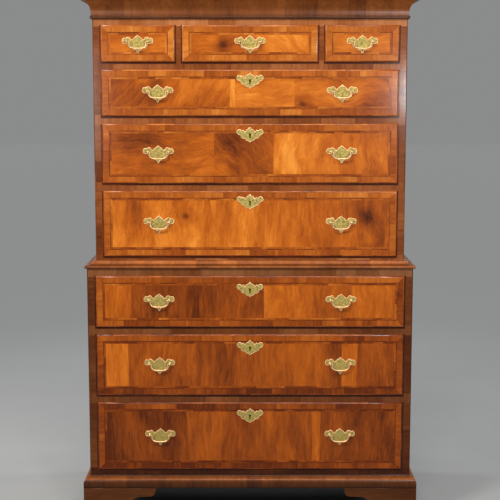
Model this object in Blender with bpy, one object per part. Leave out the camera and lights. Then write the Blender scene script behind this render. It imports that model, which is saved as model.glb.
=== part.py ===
"""Walnut chest-on-chest: three short and three long drawers over three wider long drawers.

Metres, +Z up. The front faces -Y, and left and right are as seen from the front. The origin is on
the floor under the middle of the piece. The upper chest rests in the waist moulding of the lower
one and lifts off. Every drawer slides forward, and every bail swings on its two posts.
"""

import math
from dataclasses import dataclass

import bmesh
import bpy

# Gaps and cuts
SEAT_GAP = 0.0003
CUT_OVERRUN = 0.010

# Widths and depths of the two cases
LOWER_WIDTH = 1.015
LOWER_DEPTH = 0.530
UPPER_STEP = 0.026
CASE_SIDE = 0.020
TOP_BOARD = 0.020
BACK_BOARD = 0.010
BACK_REBATE_LIP = 0.010
BACK_BOARD_COUNT = 6
BACK_GROOVE_WIDTH = 0.005
BACK_GROOVE_DEPTH = 0.003

# What shows of the cases between the drawer fronts
UPPER_STILE_REVEAL = 0.0255
LOWER_STILE_REVEAL = 0.027
RAIL_REVEAL = 0.0228
DIVIDER_REVEAL = 0.0213
LOWER_BOTTOM_REVEAL = 0.018
LOWER_TOP_REVEAL = 0.0224
UPPER_BOTTOM_REVEAL = 0.012
FRIEZE_REVEAL = 0.018

# Hidden construction behind the rails
RAIL_DEPTH = 0.060
DUST_BOARD = 0.012
PARTITION = 0.012
GUIDE_HEIGHT = 0.014

# Drawer fronts, each list from the bottom up
LOWER_FACE_HEIGHTS = {"lower_third": 0.2178, "lower_second": 0.1952, "lower_first": 0.1615}
UPPER_FACE_HEIGHTS = {"upper_third": 0.205, "upper_second": 0.1842, "upper_first": 0.1422}
SHORT_FACE_HEIGHT = 0.1112
SHORT_SIDE_FACE_WIDTH = 0.2265
LIP_OVERLAP = 0.004
LIP_THICKNESS = 0.007
LIP_ROUND = 0.0045
CORE_THICKNESS = 0.015

# Drawer linings
DRAWER_SIDE_CLEARANCE = 0.0012
DRAWER_TOP_CLEARANCE = 0.0015
DRAWER_BACK_CLEARANCE = 0.025
LINING_SIDE = 0.010
LINING_BOTTOM = 0.007
LINING_BACK = 0.010
LINING_TOP_DROP = 0.003
LINING_BACK_DROP = 0.012
RUNNER_DROP = 0.004

# Cornice, from its bead up
CORNICE_BEAD_HEIGHT = 0.0104
CORNICE_BEAD_REACH = 0.0065
CORNICE_NECK_HEIGHT = 0.0066
CORNICE_NECK_REACH = 0.003
CORNICE_COVE = 0.050
CORNICE_FILLET = 0.003
CORNICE_OVOLO = 0.008
CORNICE_CROWN = 0.008
CORNICE_WELL = 0.010

# Waist moulding, fixed round the top of the lower case
WAIST_HEIGHT = 0.0235
WAIST_RISE = 0.0165
WAIST_OVERHANG = 0.0075
WAIST_NOSE_HEIGHT = 0.0095
WAIST_NOSE_ROUND = 0.0045
WAIST_COVE_REACH = 0.017
WAIST_BEAD_HEIGHT = 0.005

# Base moulding and the plain strip under it
PLINTH_REACH = 0.0195
PLINTH_STRIP_HEIGHT = 0.018
PLINTH_LEDGE = 0.030
BASE_MOULDING_HEIGHT = 0.022
BASE_MOULDING_OVERLAP = 0.009
BASE_ROLL_HEIGHT = 0.014
BASE_ROLL_REACH = 0.011
BASE_QUIRK = 0.0015
BASE_TOP_EDGE = 0.002

# Bracket feet
FOOT_HEIGHT = 0.121
FOOT_BOARD = 0.022
FOOT_WING = 0.229
REAR_FOOT_WING = 0.120
FOOT_BLOCK = 0.040

# Brass handles
POST_SPACING = 0.065
POST_RISE = 0.005
PLATE_WING = 0.0155
PLATE_RISE = 0.021
PLATE_DROP = 0.035
PLATE_THICKNESS = 0.0016
POST_STANDOFF = 0.0085
POST_HEAD_RADIUS = 0.0038
POST_STEM_RADIUS = 0.0023
PIN_RADIUS = 0.0014
PIN_CLEARANCE = 0.0006
PIN_TIP_SETBACK = 0.001
BAIL_LEG_RADIUS = 0.0018
BAIL_GRIP_RADIUS = 0.0025
BAIL_GAP = 0.0012
BAIL_DROP = 0.0205
HANDLE_END_MARGIN = 0.173

# Brass escutcheons of the long drawers
ESCUTCHEON_WIDTH = 0.083
ESCUTCHEON_HEIGHT = 0.050
ESCUTCHEON_THICKNESS = 0.0015
UPPER_ESCUTCHEON_MARGIN = 0.009
LOWER_ESCUTCHEON_MARGIN = 0.017
KEYHOLE_RADIUS = 0.0028
KEYHOLE_SLOT_WIDTH = 0.0028
KEYHOLE_SLOT_LENGTH = 0.0095

# How finely the curves are drawn, and how square the bail's bend is
LIP_SEGMENTS = 3
BEAD_STEPS = 2
MOULDING_STEPS = 3
CORNICE_COVE_STEPS = 6
FOOT_STEPS = 3
KEYHOLE_STEPS = 4
BAIL_ARC_STEPS = 12
BAIL_SQUARENESS = 3.6
POST_SIDES = 8
HOLE_SIDES = 6
SHARP_EDGE_ANGLE = math.radians(40)

# Right half of the bat-wing plate, top to bottom: shares of its half width, and of its rise above
# or drop below the posts
PLATE_OUTLINE_SHARES = (
    (0.00, 1.00), (0.09, 0.80), (0.22, 0.60), (0.35, 0.28), (0.42, 0.42), (0.52, 0.68),
    (0.66, 0.68), (0.75, 0.52), (0.84, 0.60), (0.95, 0.44), (1.00, 0.10), (0.92, -0.15),
    (0.66, -0.17), (0.61, -0.34), (0.56, -0.48), (0.46, -0.58), (0.34, -0.56), (0.24, -0.70),
    (0.11, -0.75), (0.07, -0.90), (0.00, -1.00),
)

# Right half of the escutcheon, top to bottom: shares of its half width and half height
ESCUTCHEON_OUTLINE_SHARES = (
    (0.00, 1.00), (0.12, 0.76), (0.28, 0.62), (0.36, 0.38), (0.48, 0.62), (0.62, 0.52),
    (0.74, 0.70), (0.92, 0.62), (1.00, 0.28), (0.88, 0.02), (0.72, -0.08), (0.62, -0.42),
    (0.40, -0.50), (0.26, -0.74), (0.10, -0.80), (0.00, -1.00),
)

# Inner edge of a bracket foot: shares of its wing's length and of its height
FOOT_STEP_TOP_SHARES = (1.00, 1.00)
FOOT_STEP_INNER_SHARES = (0.935, 0.775)
FOOT_STEP_OUTER_SHARES = (0.785, 0.765)
FOOT_KNEE_SHARES = (0.665, 0.600)
FOOT_ANKLE_SHARES = (0.575, 0.240)
FOOT_TOE_SHARES = (0.560, 0.000)

# Half length of a post head's widest band, and radius of its tip: shares of the head's radius
POST_BAND_SHARE = 0.45
POST_TIP_RADIUS_SHARE = 0.45

WALNUT_VENEER = ((0.40, 0.115, 0.028), 0.30, 0.0)
WALNUT_CASE = ((0.22, 0.080, 0.030), 0.35, 0.0)
WALNUT_MOULDING = ((0.14, 0.050, 0.020), 0.35, 0.0)
OAK_LINING = ((0.42, 0.27, 0.13), 0.65, 0.0)
PINE_BOARDS = ((0.36, 0.22, 0.11), 0.75, 0.0)
LACQUERED_BRASS = ((0.72, 0.55, 0.22), 0.28, 1.0)


@dataclass
class Bay:
    """The space that one drawer slides in, in the frame of its case."""

    drawer: str
    left: float
    right: float
    floor: float
    ceiling: float
    roof: float
    left_relief: float
    right_relief: float


@dataclass
class Case:
    """One of the two chests: x from its middle, y back from its front, z up from its bottom."""

    name: str
    half_width: float
    depth: float
    height: float
    bays: list


def clear_scene():
    for existing in list(bpy.data.objects):
        bpy.data.objects.remove(existing, do_unlink=True)


def make_material(name, look):
    colour, roughness, metallic = look
    material = bpy.data.materials.new(name)
    material.use_nodes = True
    shader = material.node_tree.nodes["Principled BSDF"]
    shader.inputs["Base Color"].default_value = (*colour, 1.0)
    shader.inputs["Roughness"].default_value = roughness
    shader.inputs["Metallic"].default_value = metallic
    return material


def place(name, data, parent, location=(0, 0, 0), look=None):
    """Puts a mesh or a curve in the scene under its parent, with a material of its own."""
    placed = bpy.data.objects.new(name, data)
    bpy.context.scene.collection.objects.link(placed)
    placed.parent = parent
    placed.location = location
    if look is not None:
        placed.data.materials.clear()
        placed.data.materials.append(make_material(name, look))
    return placed


def place_empty(name, parent, location):
    return place(name, None, parent, location)


def mesh_from(shape, name):
    """Closes a bmesh with its faces turned outwards and returns it as a mesh."""
    bmesh.ops.recalc_face_normals(shape, faces=shape.faces)
    mesh = bpy.data.meshes.new(name)
    shape.to_mesh(mesh)
    shape.free()
    return mesh


def add_skin(shape, loops):
    """Joins loops of points, all of one length, into a closed solid with flat ends."""
    rings = [[shape.verts.new(point) for point in loop] for loop in loops]
    for ring, following in zip(rings, rings[1:]):
        count = len(ring)
        for i in range(count):
            j = (i + 1) % count
            shape.faces.new((ring[i], ring[j], following[j], following[i]))
    shape.faces.new(rings[0])
    shape.faces.new(rings[-1])
    return rings


def skin_mesh(name, loops):
    shape = bmesh.new()
    add_skin(shape, loops)
    return mesh_from(shape, name)


def rectangle(low, high, y):
    """Corners of an upright rectangle at depth y. low and high are (x, z)."""
    return [(low[0], y, low[1]), (high[0], y, low[1]), (high[0], y, high[1]), (low[0], y, high[1])]


def box_mesh(name, low, high):
    loops = [rectangle((low[0], low[2]), (high[0], high[2]), y) for y in (low[1], high[1])]
    return skin_mesh(name, loops)


def upright_prism(name, outline, front, back):
    """An (x, z) outline carried from one depth to another."""
    return skin_mesh(name, [[(x, y, z) for x, z in outline] for y in (front, back)])


def sideways_prism(name, outline, left, right):
    """A (y, z) outline carried from left to right."""
    return skin_mesh(name, [[(x, y, z) for y, z in outline] for x in (left, right)])


def level_prism(name, outline, bottom, top):
    """An (x, y) outline carried from one height to another."""
    return skin_mesh(name, [[(x, y, z) for x, y in outline] for z in (bottom, top)])


def cut(target, tool_name, tool_mesh, operation="DIFFERENCE"):
    """Adds a Boolean whose tool lies in the target's own frame."""
    tool = place(tool_name, tool_mesh, target.parent, target.location)
    tool.hide_render = True
    tool.display_type = "WIRE"
    modifier = target.modifiers.new(tool_name, "BOOLEAN")
    modifier.operation = operation
    modifier.solver = "EXACT"
    modifier.object = tool


def quarter(start, end, steps, upright_first):
    """Points after start along a quarter of an ellipse, which leaves start upright or level."""
    points = []
    for step in range(1, steps + 1):
        turn = math.pi / 2 * step / steps
        rising, easing = math.sin(turn), 1 - math.cos(turn)
        across, up = (easing, rising) if upright_first else (rising, easing)
        points.append((start[0] + (end[0] - start[0]) * across, start[1] + (end[1] - start[1]) * up))
    return points


def mirrored(right_half):
    """A whole outline from its right half, whose first and last points are on the middle line."""
    return list(right_half) + [(-x, z) for x, z in reversed(right_half[1:-1])]


def stacked(heights, first_bottom):
    """Bottom and top of each drawer face, from the bottom up, with a rail between faces."""
    faces = {}
    bottom = first_bottom
    for drawer, height in heights.items():
        faces[drawer] = (bottom, bottom + height)
        bottom += height + RAIL_REVEAL
    return faces


def bay_roofs(faces, case_height):
    """Height under the dust board, or the top board, over each face."""
    floors = [bottom + LIP_OVERLAP for bottom, _ in faces.values()]
    roofs = [floor - DUST_BOARD for floor in floors[1:]] + [case_height - TOP_BOARD]
    return dict(zip(faces, roofs))


def long_bay(drawer, face, roof, case_half_width, stile_reveal):
    opening = case_half_width - stile_reveal - LIP_OVERLAP
    relief = case_half_width - CASE_SIDE - opening
    floor, ceiling = face[0] + LIP_OVERLAP, face[1] - LIP_OVERLAP
    return Bay(drawer, -opening, opening, floor, ceiling, roof, relief, relief)


def short_bays(face, roof, case_half_width):
    """The three bays of the short drawers, side by side between the stiles."""
    stile_relief = UPPER_STILE_REVEAL + LIP_OVERLAP - CASE_SIDE
    divider = DIVIDER_REVEAL + 2 * LIP_OVERLAP
    divider_relief = (divider - PARTITION) / 2
    outer = case_half_width - UPPER_STILE_REVEAL - LIP_OVERLAP
    side_width = SHORT_SIDE_FACE_WIDTH - 2 * LIP_OVERLAP
    inner = outer - side_width
    middle = inner - divider
    floor, ceiling = face[0] + LIP_OVERLAP, face[1] - LIP_OVERLAP
    return [
        Bay("short_left", -outer, -inner, floor, ceiling, roof, stile_relief, divider_relief),
        Bay("short_middle", -middle, middle, floor, ceiling, roof, divider_relief, divider_relief),
        Bay("short_right", inner, outer, floor, ceiling, roof, divider_relief, stile_relief),
    ]


def lower_case():
    """The lower case's sizes, with its bays."""
    faces = stacked(LOWER_FACE_HEIGHTS, BASE_MOULDING_OVERLAP + LOWER_BOTTOM_REVEAL)
    top_face_top = list(faces.values())[-1][1]
    height = top_face_top + LOWER_TOP_REVEAL + WAIST_HEIGHT - WAIST_RISE
    roofs = bay_roofs(faces, height)
    half_width = LOWER_WIDTH / 2
    bays = [long_bay(name, faces[name], roofs[name], half_width, LOWER_STILE_REVEAL) for name in faces]
    return Case("lower", half_width, LOWER_DEPTH, height, bays)


def cornice_height():
    mouldings = CORNICE_BEAD_HEIGHT + CORNICE_NECK_HEIGHT + CORNICE_COVE
    return mouldings + CORNICE_FILLET + CORNICE_OVOLO + CORNICE_CROWN


def cornice_reach():
    return CORNICE_NECK_REACH + CORNICE_COVE + CORNICE_OVOLO


def upper_case():
    """The upper case's sizes, with its bays."""
    heights = dict(UPPER_FACE_HEIGHTS, short=SHORT_FACE_HEIGHT)
    faces = stacked(heights, WAIST_RISE - SEAT_GAP + UPPER_BOTTOM_REVEAL)
    height = faces["short"][1] + FRIEZE_REVEAL + cornice_height() - CORNICE_WELL
    roofs = bay_roofs(faces, height)
    half_width = LOWER_WIDTH / 2 - UPPER_STEP
    bays = [
        long_bay(name, faces[name], roofs[name], half_width, UPPER_STILE_REVEAL)
        for name in UPPER_FACE_HEIGHTS
    ]
    bays += short_bays(faces["short"], roofs["short"], half_width)
    return Case("upper", half_width, LOWER_DEPTH - UPPER_STEP, height, bays)


def cut_bay(carcase, bay, depth):
    """Opens a bay: a plain opening through the rail, wider and higher behind it."""
    front_outline = [
        (bay.left, bay.floor), (bay.right, bay.floor),
        (bay.right, bay.ceiling), (bay.left, bay.ceiling),
    ]
    back_of_rail = RAIL_DEPTH + CUT_OVERRUN
    cut(
        carcase,
        f"{bay.drawer}_opening_cutter",
        upright_prism(f"{bay.drawer}_opening_cutter", front_outline, -CUT_OVERRUN, back_of_rail),
    )
    guide_top = bay.floor + GUIDE_HEIGHT
    wide_left, wide_right = bay.left - bay.left_relief, bay.right + bay.right_relief
    rear_outline = [
        (bay.left, bay.floor), (bay.right, bay.floor), (bay.right, guide_top),
        (wide_right, guide_top), (wide_right, bay.roof),
        (wide_left, bay.roof), (wide_left, guide_top), (bay.left, guide_top),
    ]
    cut(
        carcase,
        f"{bay.drawer}_runway_cutter",
        upright_prism(f"{bay.drawer}_runway_cutter", rear_outline, RAIL_DEPTH, depth + CUT_OVERRUN),
    )


def build_carcase(case, chest):
    """Sides, top, bottom, stiles, rails and dust boards, with a rebate for the back boards."""
    solid = box_mesh(
        f"{case.name}_carcase", (-case.half_width, 0, 0), (case.half_width, case.depth, case.height)
    )
    carcase = place(f"{case.name}_carcase", solid, chest, look=WALNUT_CASE)
    for bay in case.bays:
        cut_bay(carcase, bay, case.depth)
    rebate_half_width = case.half_width - BACK_REBATE_LIP
    rebate_low = (-rebate_half_width, case.depth - BACK_BOARD - SEAT_GAP, BACK_REBATE_LIP)
    rebate_high = (rebate_half_width, case.depth + CUT_OVERRUN, case.height - BACK_REBATE_LIP)
    name = f"{case.name}_rebate_cutter"
    cut(carcase, name, box_mesh(name, rebate_low, rebate_high))


def build_back_boards(case, chest):
    """Upright boards across the back, drawn as one panel with a groove at each joint."""
    half_width = case.half_width - BACK_REBATE_LIP - SEAT_GAP
    outer, inner = case.depth, case.depth - BACK_BOARD
    outline = [(-half_width, inner), (half_width, inner), (half_width, outer)]
    board_width = 2 * half_width / BACK_BOARD_COUNT
    for joint in range(BACK_BOARD_COUNT - 1, 0, -1):
        x = joint * board_width - half_width
        outline.append((x + BACK_GROOVE_WIDTH / 2, outer))
        outline.append((x, outer - BACK_GROOVE_DEPTH))
        outline.append((x - BACK_GROOVE_WIDTH / 2, outer))
    outline.append((-half_width, outer))
    bottom = BACK_REBATE_LIP + SEAT_GAP
    top = case.height - BACK_REBATE_LIP - SEAT_GAP
    name = f"{case.name}_back_boards"
    place(name, level_prism(name, outline, bottom, top), chest, look=PINE_BOARDS)


def build_moulding(name, profile, case, chest, height):
    """Carries a (reach, z) profile round the left side, front and right side, mitred."""
    loops = []
    for side, at_front in ((-1, False), (-1, True), (1, True), (1, False)):
        loops.append(
            [
                (side * (case.half_width + reach), -reach if at_front else case.depth, z)
                for reach, z in profile
            ]
        )
    place(name, skin_mesh(name, loops), chest, (0, 0, height), look=WALNUT_MOULDING)


def cornice_profile():
    bead_top = CORNICE_BEAD_HEIGHT
    cove_bottom = bead_top + CORNICE_NECK_HEIGHT
    cove_top = cove_bottom + CORNICE_COVE
    cove_reach = CORNICE_NECK_REACH + CORNICE_COVE
    ovolo_bottom = cove_top + CORNICE_FILLET
    ovolo_top = ovolo_bottom + CORNICE_OVOLO
    profile = [(SEAT_GAP, 0), (CORNICE_NECK_REACH, 0)]
    profile += quarter(profile[-1], (CORNICE_BEAD_REACH, bead_top / 2), BEAD_STEPS, False)
    profile += quarter(profile[-1], (CORNICE_NECK_REACH, bead_top), BEAD_STEPS, True)
    profile.append((CORNICE_NECK_REACH, cove_bottom))
    profile += quarter(profile[-1], (cove_reach, cove_top), CORNICE_COVE_STEPS, True)
    profile.append((cove_reach, ovolo_bottom))
    profile += quarter(profile[-1], (cornice_reach(), ovolo_top), MOULDING_STEPS, False)
    profile.append((cornice_reach(), cornice_height()))
    profile.append((SEAT_GAP, cornice_height()))
    return profile


def waist_profile():
    """Nose, cove and bead outside the upper case, seated on the lower case's top edge.

    The seat lies lower than the nose's top, so that the cove keeps wood under it.
    """
    lower_side = UPPER_STEP + SEAT_GAP
    seat = WAIST_HEIGHT - WAIST_RISE + SEAT_GAP
    nose_reach = UPPER_STEP + WAIST_OVERHANG
    nose_back = nose_reach - WAIST_NOSE_ROUND
    bead_bottom = WAIST_HEIGHT - WAIST_BEAD_HEIGHT
    bead_reach = nose_back - WAIST_COVE_REACH
    profile = [(lower_side, 0), (nose_back, 0)]
    profile += quarter(profile[-1], (nose_reach, WAIST_NOSE_HEIGHT / 2), BEAD_STEPS, False)
    profile += quarter(profile[-1], (nose_back, WAIST_NOSE_HEIGHT), BEAD_STEPS, True)
    profile += quarter(profile[-1], (bead_reach, bead_bottom), MOULDING_STEPS, False)
    bead_top = (bead_reach - WAIST_BEAD_HEIGHT, WAIST_HEIGHT)
    profile += quarter(profile[-1], bead_top, MOULDING_STEPS, True)
    profile += [(SEAT_GAP, WAIST_HEIGHT), (SEAT_GAP, seat), (lower_side, seat)]
    return profile


def base_profile():
    """Plain strip with a roll and a cove over it, and a ledge that carries the case."""
    strip_top = PLINTH_STRIP_HEIGHT
    top = strip_top + BASE_MOULDING_HEIGHT
    case_bottom = top - BASE_MOULDING_OVERLAP - SEAT_GAP
    roll_reach = PLINTH_REACH - BASE_QUIRK
    roll_top = (roll_reach - BASE_ROLL_REACH, strip_top + BASE_ROLL_HEIGHT)
    cove_bottom = (roll_top[0], roll_top[1] + BASE_TOP_EDGE)
    profile = [(-PLINTH_LEDGE, 0), (PLINTH_REACH, 0), (PLINTH_REACH, strip_top)]
    profile.append((roll_reach, strip_top))
    profile += quarter(profile[-1], roll_top, MOULDING_STEPS, True)
    profile.append(cove_bottom)
    profile += quarter(profile[-1], (BASE_TOP_EDGE, top), MOULDING_STEPS, False)
    profile += [(SEAT_GAP, top), (SEAT_GAP, case_bottom), (-PLINTH_LEDGE, case_bottom)]
    return profile


def foot_cut_outline(wing_length):
    """What is cut away under a foot's wing: (distance in from the corner, height) points."""
    def scaled(shares):
        return (shares[0] * wing_length, shares[1] * FOOT_HEIGHT)

    outline = [scaled(FOOT_STEP_TOP_SHARES)]
    outline += quarter(outline[-1], scaled(FOOT_STEP_INNER_SHARES), FOOT_STEPS, True)
    outline.append(scaled(FOOT_STEP_OUTER_SHARES))
    outline += quarter(outline[-1], scaled(FOOT_KNEE_SHARES), FOOT_STEPS, False)
    outline += quarter(outline[-1], scaled(FOOT_ANKLE_SHARES), FOOT_STEPS, True)
    toe = scaled(FOOT_TOE_SHARES)
    outline.append(toe)
    outline.append((toe[0], -CUT_OVERRUN))
    outline.append((wing_length + CUT_OVERRUN, -CUT_OVERRUN))
    outline.append((wing_length + CUT_OVERRUN, FOOT_HEIGHT))
    return outline


def build_foot(name, corner, side, ahead, end_wing, base):
    """A bracket foot: two boards that meet at the case's corner, with a glue block inside.

    side is -1 on the left and 1 on the right. ahead is -1 at the front and 1 at the rear. The side
    board always has the full wing, and end_wing is the length of the front or rear board.
    """
    block = FOOT_BOARD + FOOT_BLOCK
    plan = [
        (0, 0), (end_wing, 0), (end_wing, FOOT_BOARD), (block, FOOT_BOARD),
        (block, block), (FOOT_BOARD, block), (FOOT_BOARD, FOOT_WING), (0, FOOT_WING),
    ]
    outline = [(-side * x, -ahead * y) for x, y in plan]
    foot = place(name, level_prism(name, outline, 0, FOOT_HEIGHT), base, corner, WALNUT_CASE)
    end_outline = [(-side * d, z) for d, z in foot_cut_outline(end_wing)]
    end_name = f"{name}_end_cutter"
    front, back = sorted((ahead * CUT_OVERRUN, -ahead * (FOOT_BOARD + CUT_OVERRUN)))
    cut(foot, end_name, upright_prism(end_name, end_outline, front, back))
    side_outline = [(-ahead * d, z) for d, z in foot_cut_outline(FOOT_WING)]
    side_name = f"{name}_side_cutter"
    left, right = sorted((side * CUT_OVERRUN, -side * (FOOT_BOARD + CUT_OVERRUN)))
    cut(foot, side_name, sideways_prism(side_name, side_outline, left, right))


def build_feet(case, chest, base_drop):
    """The four feet, with their tops against the plain strip's underside."""
    base = place_empty("base", chest, (0, 0, -base_drop - FOOT_HEIGHT - SEAT_GAP))
    outer = case.half_width + PLINTH_REACH
    for side, side_name in ((-1, "left"), (1, "right")):
        front_corner = (side * outer, -PLINTH_REACH, 0)
        rear_corner = (side * outer, case.depth, 0)
        build_foot(f"front_{side_name}_foot", front_corner, side, -1, FOOT_WING, base)
        build_foot(f"rear_{side_name}_foot", rear_corner, side, 1, REAR_FOOT_WING, base)


def escutcheon_mesh():
    """A bat-wing plate, with its back sunk so far into the front that the two can be joined."""
    half = [(x * ESCUTCHEON_WIDTH / 2, z * ESCUTCHEON_HEIGHT / 2) for x, z in ESCUTCHEON_OUTLINE_SHARES]
    return upright_prism("escutcheon", mirrored(half), -ESCUTCHEON_THICKNESS, ESCUTCHEON_THICKNESS)


def keyhole_mesh():
    """A round hole over a slot, through the escutcheon down to the front's face."""
    half_slot = KEYHOLE_SLOT_WIDTH / 2
    start = math.asin(half_slot / KEYHOLE_RADIUS / math.sqrt(2))
    right_half = [(0, KEYHOLE_RADIUS)]
    for step in range(1, KEYHOLE_STEPS + 1):
        turn = (math.pi - start) * step / KEYHOLE_STEPS
        right_half.append((KEYHOLE_RADIUS * math.sin(turn), KEYHOLE_RADIUS * math.cos(turn)))
    right_half.append((half_slot, -KEYHOLE_SLOT_LENGTH))
    right_half.append((0, -KEYHOLE_SLOT_LENGTH))
    return upright_prism("keyhole", mirrored(right_half), -ESCUTCHEON_THICKNESS - CUT_OVERRUN, 0)


def front_mesh(name, bay):
    """A lipped drawer front: a core that fits the opening, and a wider lip with a rounded edge.

    x is from the bay's middle, z from its floor, and y is 0 at the case's front.
    """
    half_opening = (bay.right - bay.left) / 2
    half_core = half_opening - DRAWER_SIDE_CLEARANCE
    opening_height = bay.ceiling - bay.floor
    core = ((-half_core, SEAT_GAP), (half_core, opening_height - DRAWER_TOP_CLEARANCE))
    half_lip = half_opening + LIP_OVERLAP
    lip = ((-half_lip, -LIP_OVERLAP), (half_lip, opening_height + LIP_OVERLAP))
    lip_back = -SEAT_GAP
    lip_face = lip_back - LIP_THICKNESS
    shape = bmesh.new()
    rings = add_skin(
        shape,
        [
            rectangle(*core, CORE_THICKNESS),
            rectangle(*core, lip_back),
            rectangle(*lip, lip_back),
            rectangle(*lip, lip_face),
        ],
    )
    face_corners = set(rings[-1])
    face_edges = [edge for edge in shape.edges if face_corners.issuperset(edge.verts)]
    bmesh.ops.bevel(
        shape,
        geom=face_edges,
        offset=min(LIP_ROUND, LIP_THICKNESS / 2 + LIP_OVERLAP),
        segments=LIP_SEGMENTS,
        profile=0.5,
        affect="EDGES",
    )
    return mesh_from(shape, name)


def lining_mesh(name, width, depth, height):
    """Sides, back and bottom in one, open at the top and front, with runners under the sides."""
    inner = width / 2 - LINING_SIDE
    side_outline = [
        (-width / 2, 0), (-inner, 0), (-inner, RUNNER_DROP),
        (inner, RUNNER_DROP), (inner, 0), (width / 2, 0),
        (width / 2, height), (inner, height),
        (inner, RUNNER_DROP + LINING_BOTTOM), (-inner, RUNNER_DROP + LINING_BOTTOM),
        (-inner, height), (-width / 2, height),
    ]
    floor_top = RUNNER_DROP + LINING_BOTTOM
    tray = upright_prism(name, side_outline, 0, depth)
    back = box_mesh(
        f"{name}_back",
        (-inner - LINING_SIDE / 2, depth - LINING_BACK, floor_top - LINING_BOTTOM / 2),
        (inner + LINING_SIDE / 2, depth - SEAT_GAP, height - LINING_BACK_DROP),
    )
    return tray, back


def build_drawer(bay, case, chest, escutcheon_margin, shared):
    """One drawer: its front, its lining and its brass."""
    middle = (bay.left + bay.right) / 2
    drawer = place_empty(f"{bay.drawer}_drawer", chest, (middle, 0, bay.floor))
    opening_height = bay.ceiling - bay.floor
    front_name = f"{bay.drawer}_drawer_front"
    front = place(front_name, front_mesh(front_name, bay), drawer, look=WALNUT_VENEER)
    lip_face = -SEAT_GAP - LIP_THICKNESS
    if escutcheon_margin is not None:
        height = opening_height + LIP_OVERLAP - escutcheon_margin - ESCUTCHEON_HEIGHT / 2
        add_escutcheon(front, bay.drawer, lip_face, height, shared)
    lining_name = f"{bay.drawer}_drawer_lining"
    width = bay.right - bay.left - 2 * DRAWER_SIDE_CLEARANCE
    start = CORE_THICKNESS + SEAT_GAP
    depth = case.depth - BACK_BOARD - DRAWER_BACK_CLEARANCE - start
    height = opening_height - DRAWER_TOP_CLEARANCE - LINING_TOP_DROP - SEAT_GAP
    tray, back = lining_mesh(lining_name, width, depth, height)
    lining = place(lining_name, tray, drawer, (0, start, SEAT_GAP), OAK_LINING)
    cut(lining, f"{lining_name}_back", back, "UNION")
    face_middle = opening_height / 2
    for side_name, x in handle_places(bay.drawer).items():
        place_handle(f"{bay.drawer}{side_name}", drawer, (x, lip_face, face_middle + POST_RISE), shared)


def handle_places(drawer):
    """Name ending and x of each handle of a drawer. All the long drawers' handles line up."""
    if drawer.startswith("short"):
        return {"": 0}
    offset = LOWER_WIDTH / 2 - UPPER_STEP - UPPER_STILE_REVEAL - HANDLE_END_MARGIN
    return {"_left": -offset, "_right": offset}


def add_escutcheon(front, drawer, lip_face, height, shared):
    """Joins the escutcheon to the front as a raised plate, and opens its keyhole."""
    for name, operation in (("escutcheon", "UNION"), ("keyhole", "DIFFERENCE")):
        tool_name = f"{drawer}_{name}"
        cut(front, tool_name, shared[name], operation)
        bpy.data.objects[tool_name].location = (0, lip_face, height)


def post_profile():
    """(radius, distance out from the plate's back) of a post with a round head."""
    axis = PLATE_THICKNESS + POST_STANDOFF
    shoulder = axis - POST_HEAD_RADIUS
    tip = axis + POST_HEAD_RADIUS
    tip_radius = POST_TIP_RADIUS_SHARE * POST_HEAD_RADIUS
    half_band = POST_BAND_SHARE * POST_HEAD_RADIUS
    return [
        (POST_STEM_RADIUS, PLATE_THICKNESS / 2),
        (POST_STEM_RADIUS, shoulder),
        (POST_HEAD_RADIUS, axis - half_band),
        (POST_HEAD_RADIUS, axis + half_band),
        (tip_radius, tip),
    ]


def turned_mesh(name, profile, sides):
    """A profile of (radius, distance forward) turned about the Y axis, flat at both ends."""
    loops = []
    for radius, forward in profile:
        turns = [math.tau * (side + 0.5) / sides for side in range(sides)]
        loops.append([(radius * math.cos(turn), -forward, radius * math.sin(turn)) for turn in turns])
    return skin_mesh(name, loops)


def pin_hole_mesh():
    """A hole through a post's head, from side to side, at the bail's axis."""
    radius = (PIN_RADIUS + PIN_CLEARANCE) / math.cos(math.pi / HOLE_SIDES)
    axis_y = -PLATE_THICKNESS - POST_STANDOFF
    outline = []
    for side in range(HOLE_SIDES):
        turn = math.tau * side / HOLE_SIDES
        outline.append((axis_y + radius * math.cos(turn), radius * math.sin(turn)))
    reach = POST_HEAD_RADIUS + CUT_OVERRUN
    return sideways_prism("pin_hole", outline, -reach, reach)


def plate_half_width():
    return POST_SPACING / 2 + PLATE_WING


def plate_mesh():
    """The bat-wing plate with its two drilled posts, from the back of the plate at y = 0."""
    half = []
    for x, z in PLATE_OUTLINE_SHARES:
        half.append((x * plate_half_width(), z * (PLATE_RISE if z > 0 else PLATE_DROP)))
    pattern = place("plate_pattern", upright_prism("plate", mirrored(half), -PLATE_THICKNESS, 0), None)
    for x in (-POST_SPACING / 2, POST_SPACING / 2):
        post = turned_mesh("post", post_profile(), POST_SIDES)
        for name, tool_mesh, operation in (
            (f"pattern_post_{x:+.3f}", post, "UNION"),
            (f"pattern_hole_{x:+.3f}", pin_hole_mesh(), "DIFFERENCE"),
        ):
            cut(pattern, name, tool_mesh, operation)
            bpy.data.objects[name].location = (x, 0, 0)
    bpy.context.view_layer.update()
    graph = bpy.context.evaluated_depsgraph_get()
    mesh = bpy.data.meshes.new_from_object(pattern.evaluated_get(graph))
    mesh.name = "handle_plate"
    mesh.set_sharp_from_angle(angle=SHARP_EDGE_ANGLE)
    for helper in [pattern] + [modifier.object for modifier in pattern.modifiers]:
        bpy.data.objects.remove(helper, do_unlink=True)
    return mesh


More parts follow.
